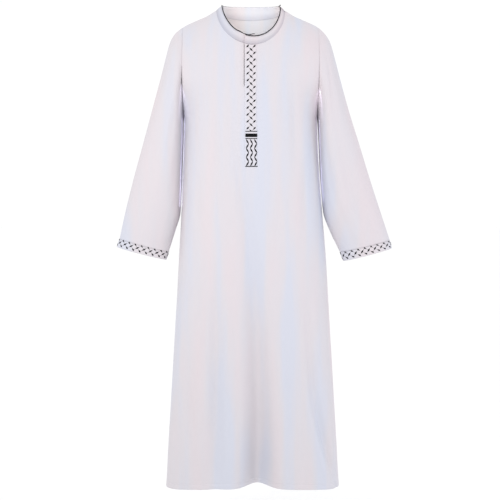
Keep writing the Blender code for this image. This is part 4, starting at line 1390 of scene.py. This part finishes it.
# White polyester sewing thread, a shade lighter than the cloth, with a soft gloss. A stitch is 2.6 mm long.
sewing = {
    "colour": "e2dfe4",
    "pitch": 0.0034,
    "length": 0.0026,
    "radius": 0.00034,
    "reach": 0.0012,
    "lift": 0.0001,
    "batch": 24,
    "inset": 0.0016,  # from the strip's edges
    "cuffShares": (0.055, 0.945),  # down the wrist band
    "roughness": (0.45, 0.65),
    "relief": (0.3, 0.0001),
}


def makeSewingThread():
    material, shader = newMaterial("polyester_sewing_thread_white", {
        "Metallic": 0.0, "IOR": 1.5, "Specular IOR Level": 0.4, "Base Color": fromHex(sewing["colour"]),
    })
    place = addNode(material, "ShaderNodeTexCoord")
    fuzz = addNode(material, "ShaderNodeTexNoise", {"Scale": 2500.0, "Detail": 1.0},
                   {"Vector": place.outputs["Object"]})
    addFinish(material, shader, fuzz.outputs["Fac"], sewing)
    return material


def sewLine(shape, line, normals):
    # lockstitches laid end to end along a line of points
    run = lengthsAlong(line)
    at = np.arange(0.5 * sewing["pitch"], run[-1] - 0.5 * sewing["length"], sewing["pitch"])
    spot = lambda values, where: stack(*[np.interp(where, run, column) for column in values.T])
    centres, outs = spot(line, at), unit(spot(normals, at))
    aheads = unit(spot(line, at + sewing["reach"]) - spot(line, at - sewing["reach"]))
    sides = np.cross(aheads, outs)
    size = (sewing["radius"], sewing["radius"], 0.5 * sewing["length"])
    few = bmesh.new()
    batch = sewing["batch"]
    for n in range(len(at)):
        columns = (sides[n] * size[0], outs[n] * size[1], aheads[n] * size[2], centres[n])
        turn = Matrix([list(map(float, row)) for row in zip(*columns)] + [[0.0, 0.0, 0.0, 1.0]])
        bmesh.ops.create_uvsphere(few, u_segments=6, v_segments=5, radius=1.0, matrix=turn)
        if n % batch == batch - 1 or n == len(at) - 1:  # added a few at a time, which is much faster
            part = bpy.data.meshes.new("stitches")
            few.to_mesh(part)
            shape.from_mesh(part)
            bpy.data.meshes.remove(part)
            few.clear()
    few.free()


def makeSewing():
    shape = bmesh.new()
    for points, face in ((frontPoints, -1.0), (backPoints, 1.0)):
        middle = points.shape[1] // 2
        normals = outNormals(points, (0.0, face, 0.0), panel["midRow"], middle)
        row = int(np.argmin(np.abs(points[:, middle, 2] - body["hemZ"] - panel["hemFold"])))
        line = points[row] + normals[row] * 0.5 * panel["thickness"]
        sewLine(shape, line[3:-3], normals[row][3:-3])
    # the strip is sewn down along its right edge, and along its left edge below the slit
    inset = sewing["inset"]
    tops = ((strip["right"] - inset, placketChart["netTop"]), (strip["left"] + inset, strip["slitEnd"]))
    for x, top in tops:
        zs = np.linspace(top, strip["bottom"] + inset, 120)
        xs = np.full(zs.shape, x)
        sewLine(shape, stripSurface(xs, zs, sewing["lift"]), bodyNormal("front", stripShare(xs), zs))
    # wrist bands: a line under the band's upper edge and one above the opening
    for hand in (-1.0, 1.0):
        runs = np.linspace(0.0, cuffRuns[hand][0][-1], 240)
        for down in sewing["cuffShares"]:
            downs = np.full(runs.shape, down)
            line = cuffSurface(hand, sewing["lift"], runs, downs)
            sewLine(shape, line, unit(line - cuffSurface(hand, -0.001, runs, downs)))
    piece = finish("sewingThread", shape, makeSewingThread())
    return piece


sewingThread = makeSewing()
print("sewing done")

studio = {
    "floor": "ffffff",
    "floorZ": -1.62,
    "floorSize": 14.0,
    "worldStrength": 1.02,
}

# Thin cloth lets light through: one lamp inside the neck and these in the hollows beside the arms
# stand in for it. Each place is x, y, z and watts.
underArm = {
    "places": (
        (0.2010, -0.074, -0.238, 0.0035),
        (0.2010, -0.036, -0.370, 0.006),
        (0.2060, -0.036, -0.500, 0.006),
    ),
    "width": 0.004,
    "height": 0.13,
    "colour": (0.80, 0.78, 1.0),
}

camera = {
    "place": (0.0, -3.5863, -0.3742),
    "target": (0.0, 0.0, -0.688),
    "lens": 86.4,
    "shift": (-0.002, -0.006),
}


def makeFloor():
    shape = bmesh.new()
    bmesh.ops.create_grid(shape, x_segments=1, y_segments=1, size=studio["floorSize"])
    bmesh.ops.translate(shape, verts=shape.verts, vec=(0.0, 0.0, studio["floorZ"]))
    mesh = bpy.data.meshes.new("studioFloor")
    shape.to_mesh(mesh)
    shape.free()
    material, shader = newMaterial("studio_paper_pale", {
        "Base Color": fromHex(studio["floor"]), "Roughness": 0.9, "Specular IOR Level": 0.1,
    })
    mesh.materials.append(material)
    floor = bpy.data.objects.new("studioFloor", mesh)
    bpy.context.scene.collection.objects.link(floor)


def addLight(name, place, target, size, power, colour, spread=math.pi, tall=None):
    light = bpy.data.lights.new(name, "AREA")
    light.shape = "RECTANGLE" if tall else "DISK"
    light.size = size
    if tall:
        light.size_y = tall
    light.energy = power
    light.color = colour
    lamp = bpy.data.objects.new(name, light)
    lamp.location = place
    lamp.rotation_euler = (Vector(target) - Vector(place)).to_track_quat("-Z", "Y").to_euler()
    lamp.visible_camera = False
    light.spread = spread
    bpy.context.scene.collection.objects.link(lamp)


def makeWorld():
    world = bpy.data.worlds.new("studioWhite")
    world.use_nodes = True
    ground = world.node_tree.nodes["Background"]
    ground.inputs["Color"].default_value = (1.0, 1.0, 1.0, 1.0)
    ground.inputs["Strength"].default_value = studio["worldStrength"]
    bpy.context.scene.world = world


def makeCamera():
    lens = bpy.data.cameras.new("photoCamera")
    lens.lens = camera["lens"]
    lens.sensor_width = 36.0
    lens.shift_x, lens.shift_y = camera["shift"]
    lens.clip_end = 100.0
    eye = bpy.data.objects.new("photoCamera", lens)
    eye.location = camera["place"]
    aim = Vector(camera["target"]) - Vector(camera["place"])
    eye.rotation_euler = aim.to_track_quat("-Z", "Y").to_euler()
    bpy.context.scene.collection.objects.link(eye)
    bpy.context.scene.camera = eye


makeFloor()
makeWorld()
addLight("key", (-1.0, -2.0, 0.2), (0.0, 0.0, -0.45), 1.0, 2.1, (1.0, 0.97, 0.99), math.radians(70))
addLight("coolSide", (2.4, -0.9, 0.1), (0.0, 0.0, -0.6), 1.2, 7.0, (0.66, 0.76, 1.0))
addLight("insideNeck", (0.0, -0.040, -0.060), (0.0, 0.070, 0.005), 0.13, 0.125, (1.0, 1.0, 0.93))
for hand in (-1.0, 1.0):
    for x, y, z, power in underArm["places"]:
        addLight("underArm", (hand * x, y, z), (hand * x, 0.0, z), underArm["width"], power,
                 underArm["colour"], tall=underArm["height"])
makeCamera()
bpy.context.scene.view_settings.view_transform = "Standard"
print("floor, lights and camera made")
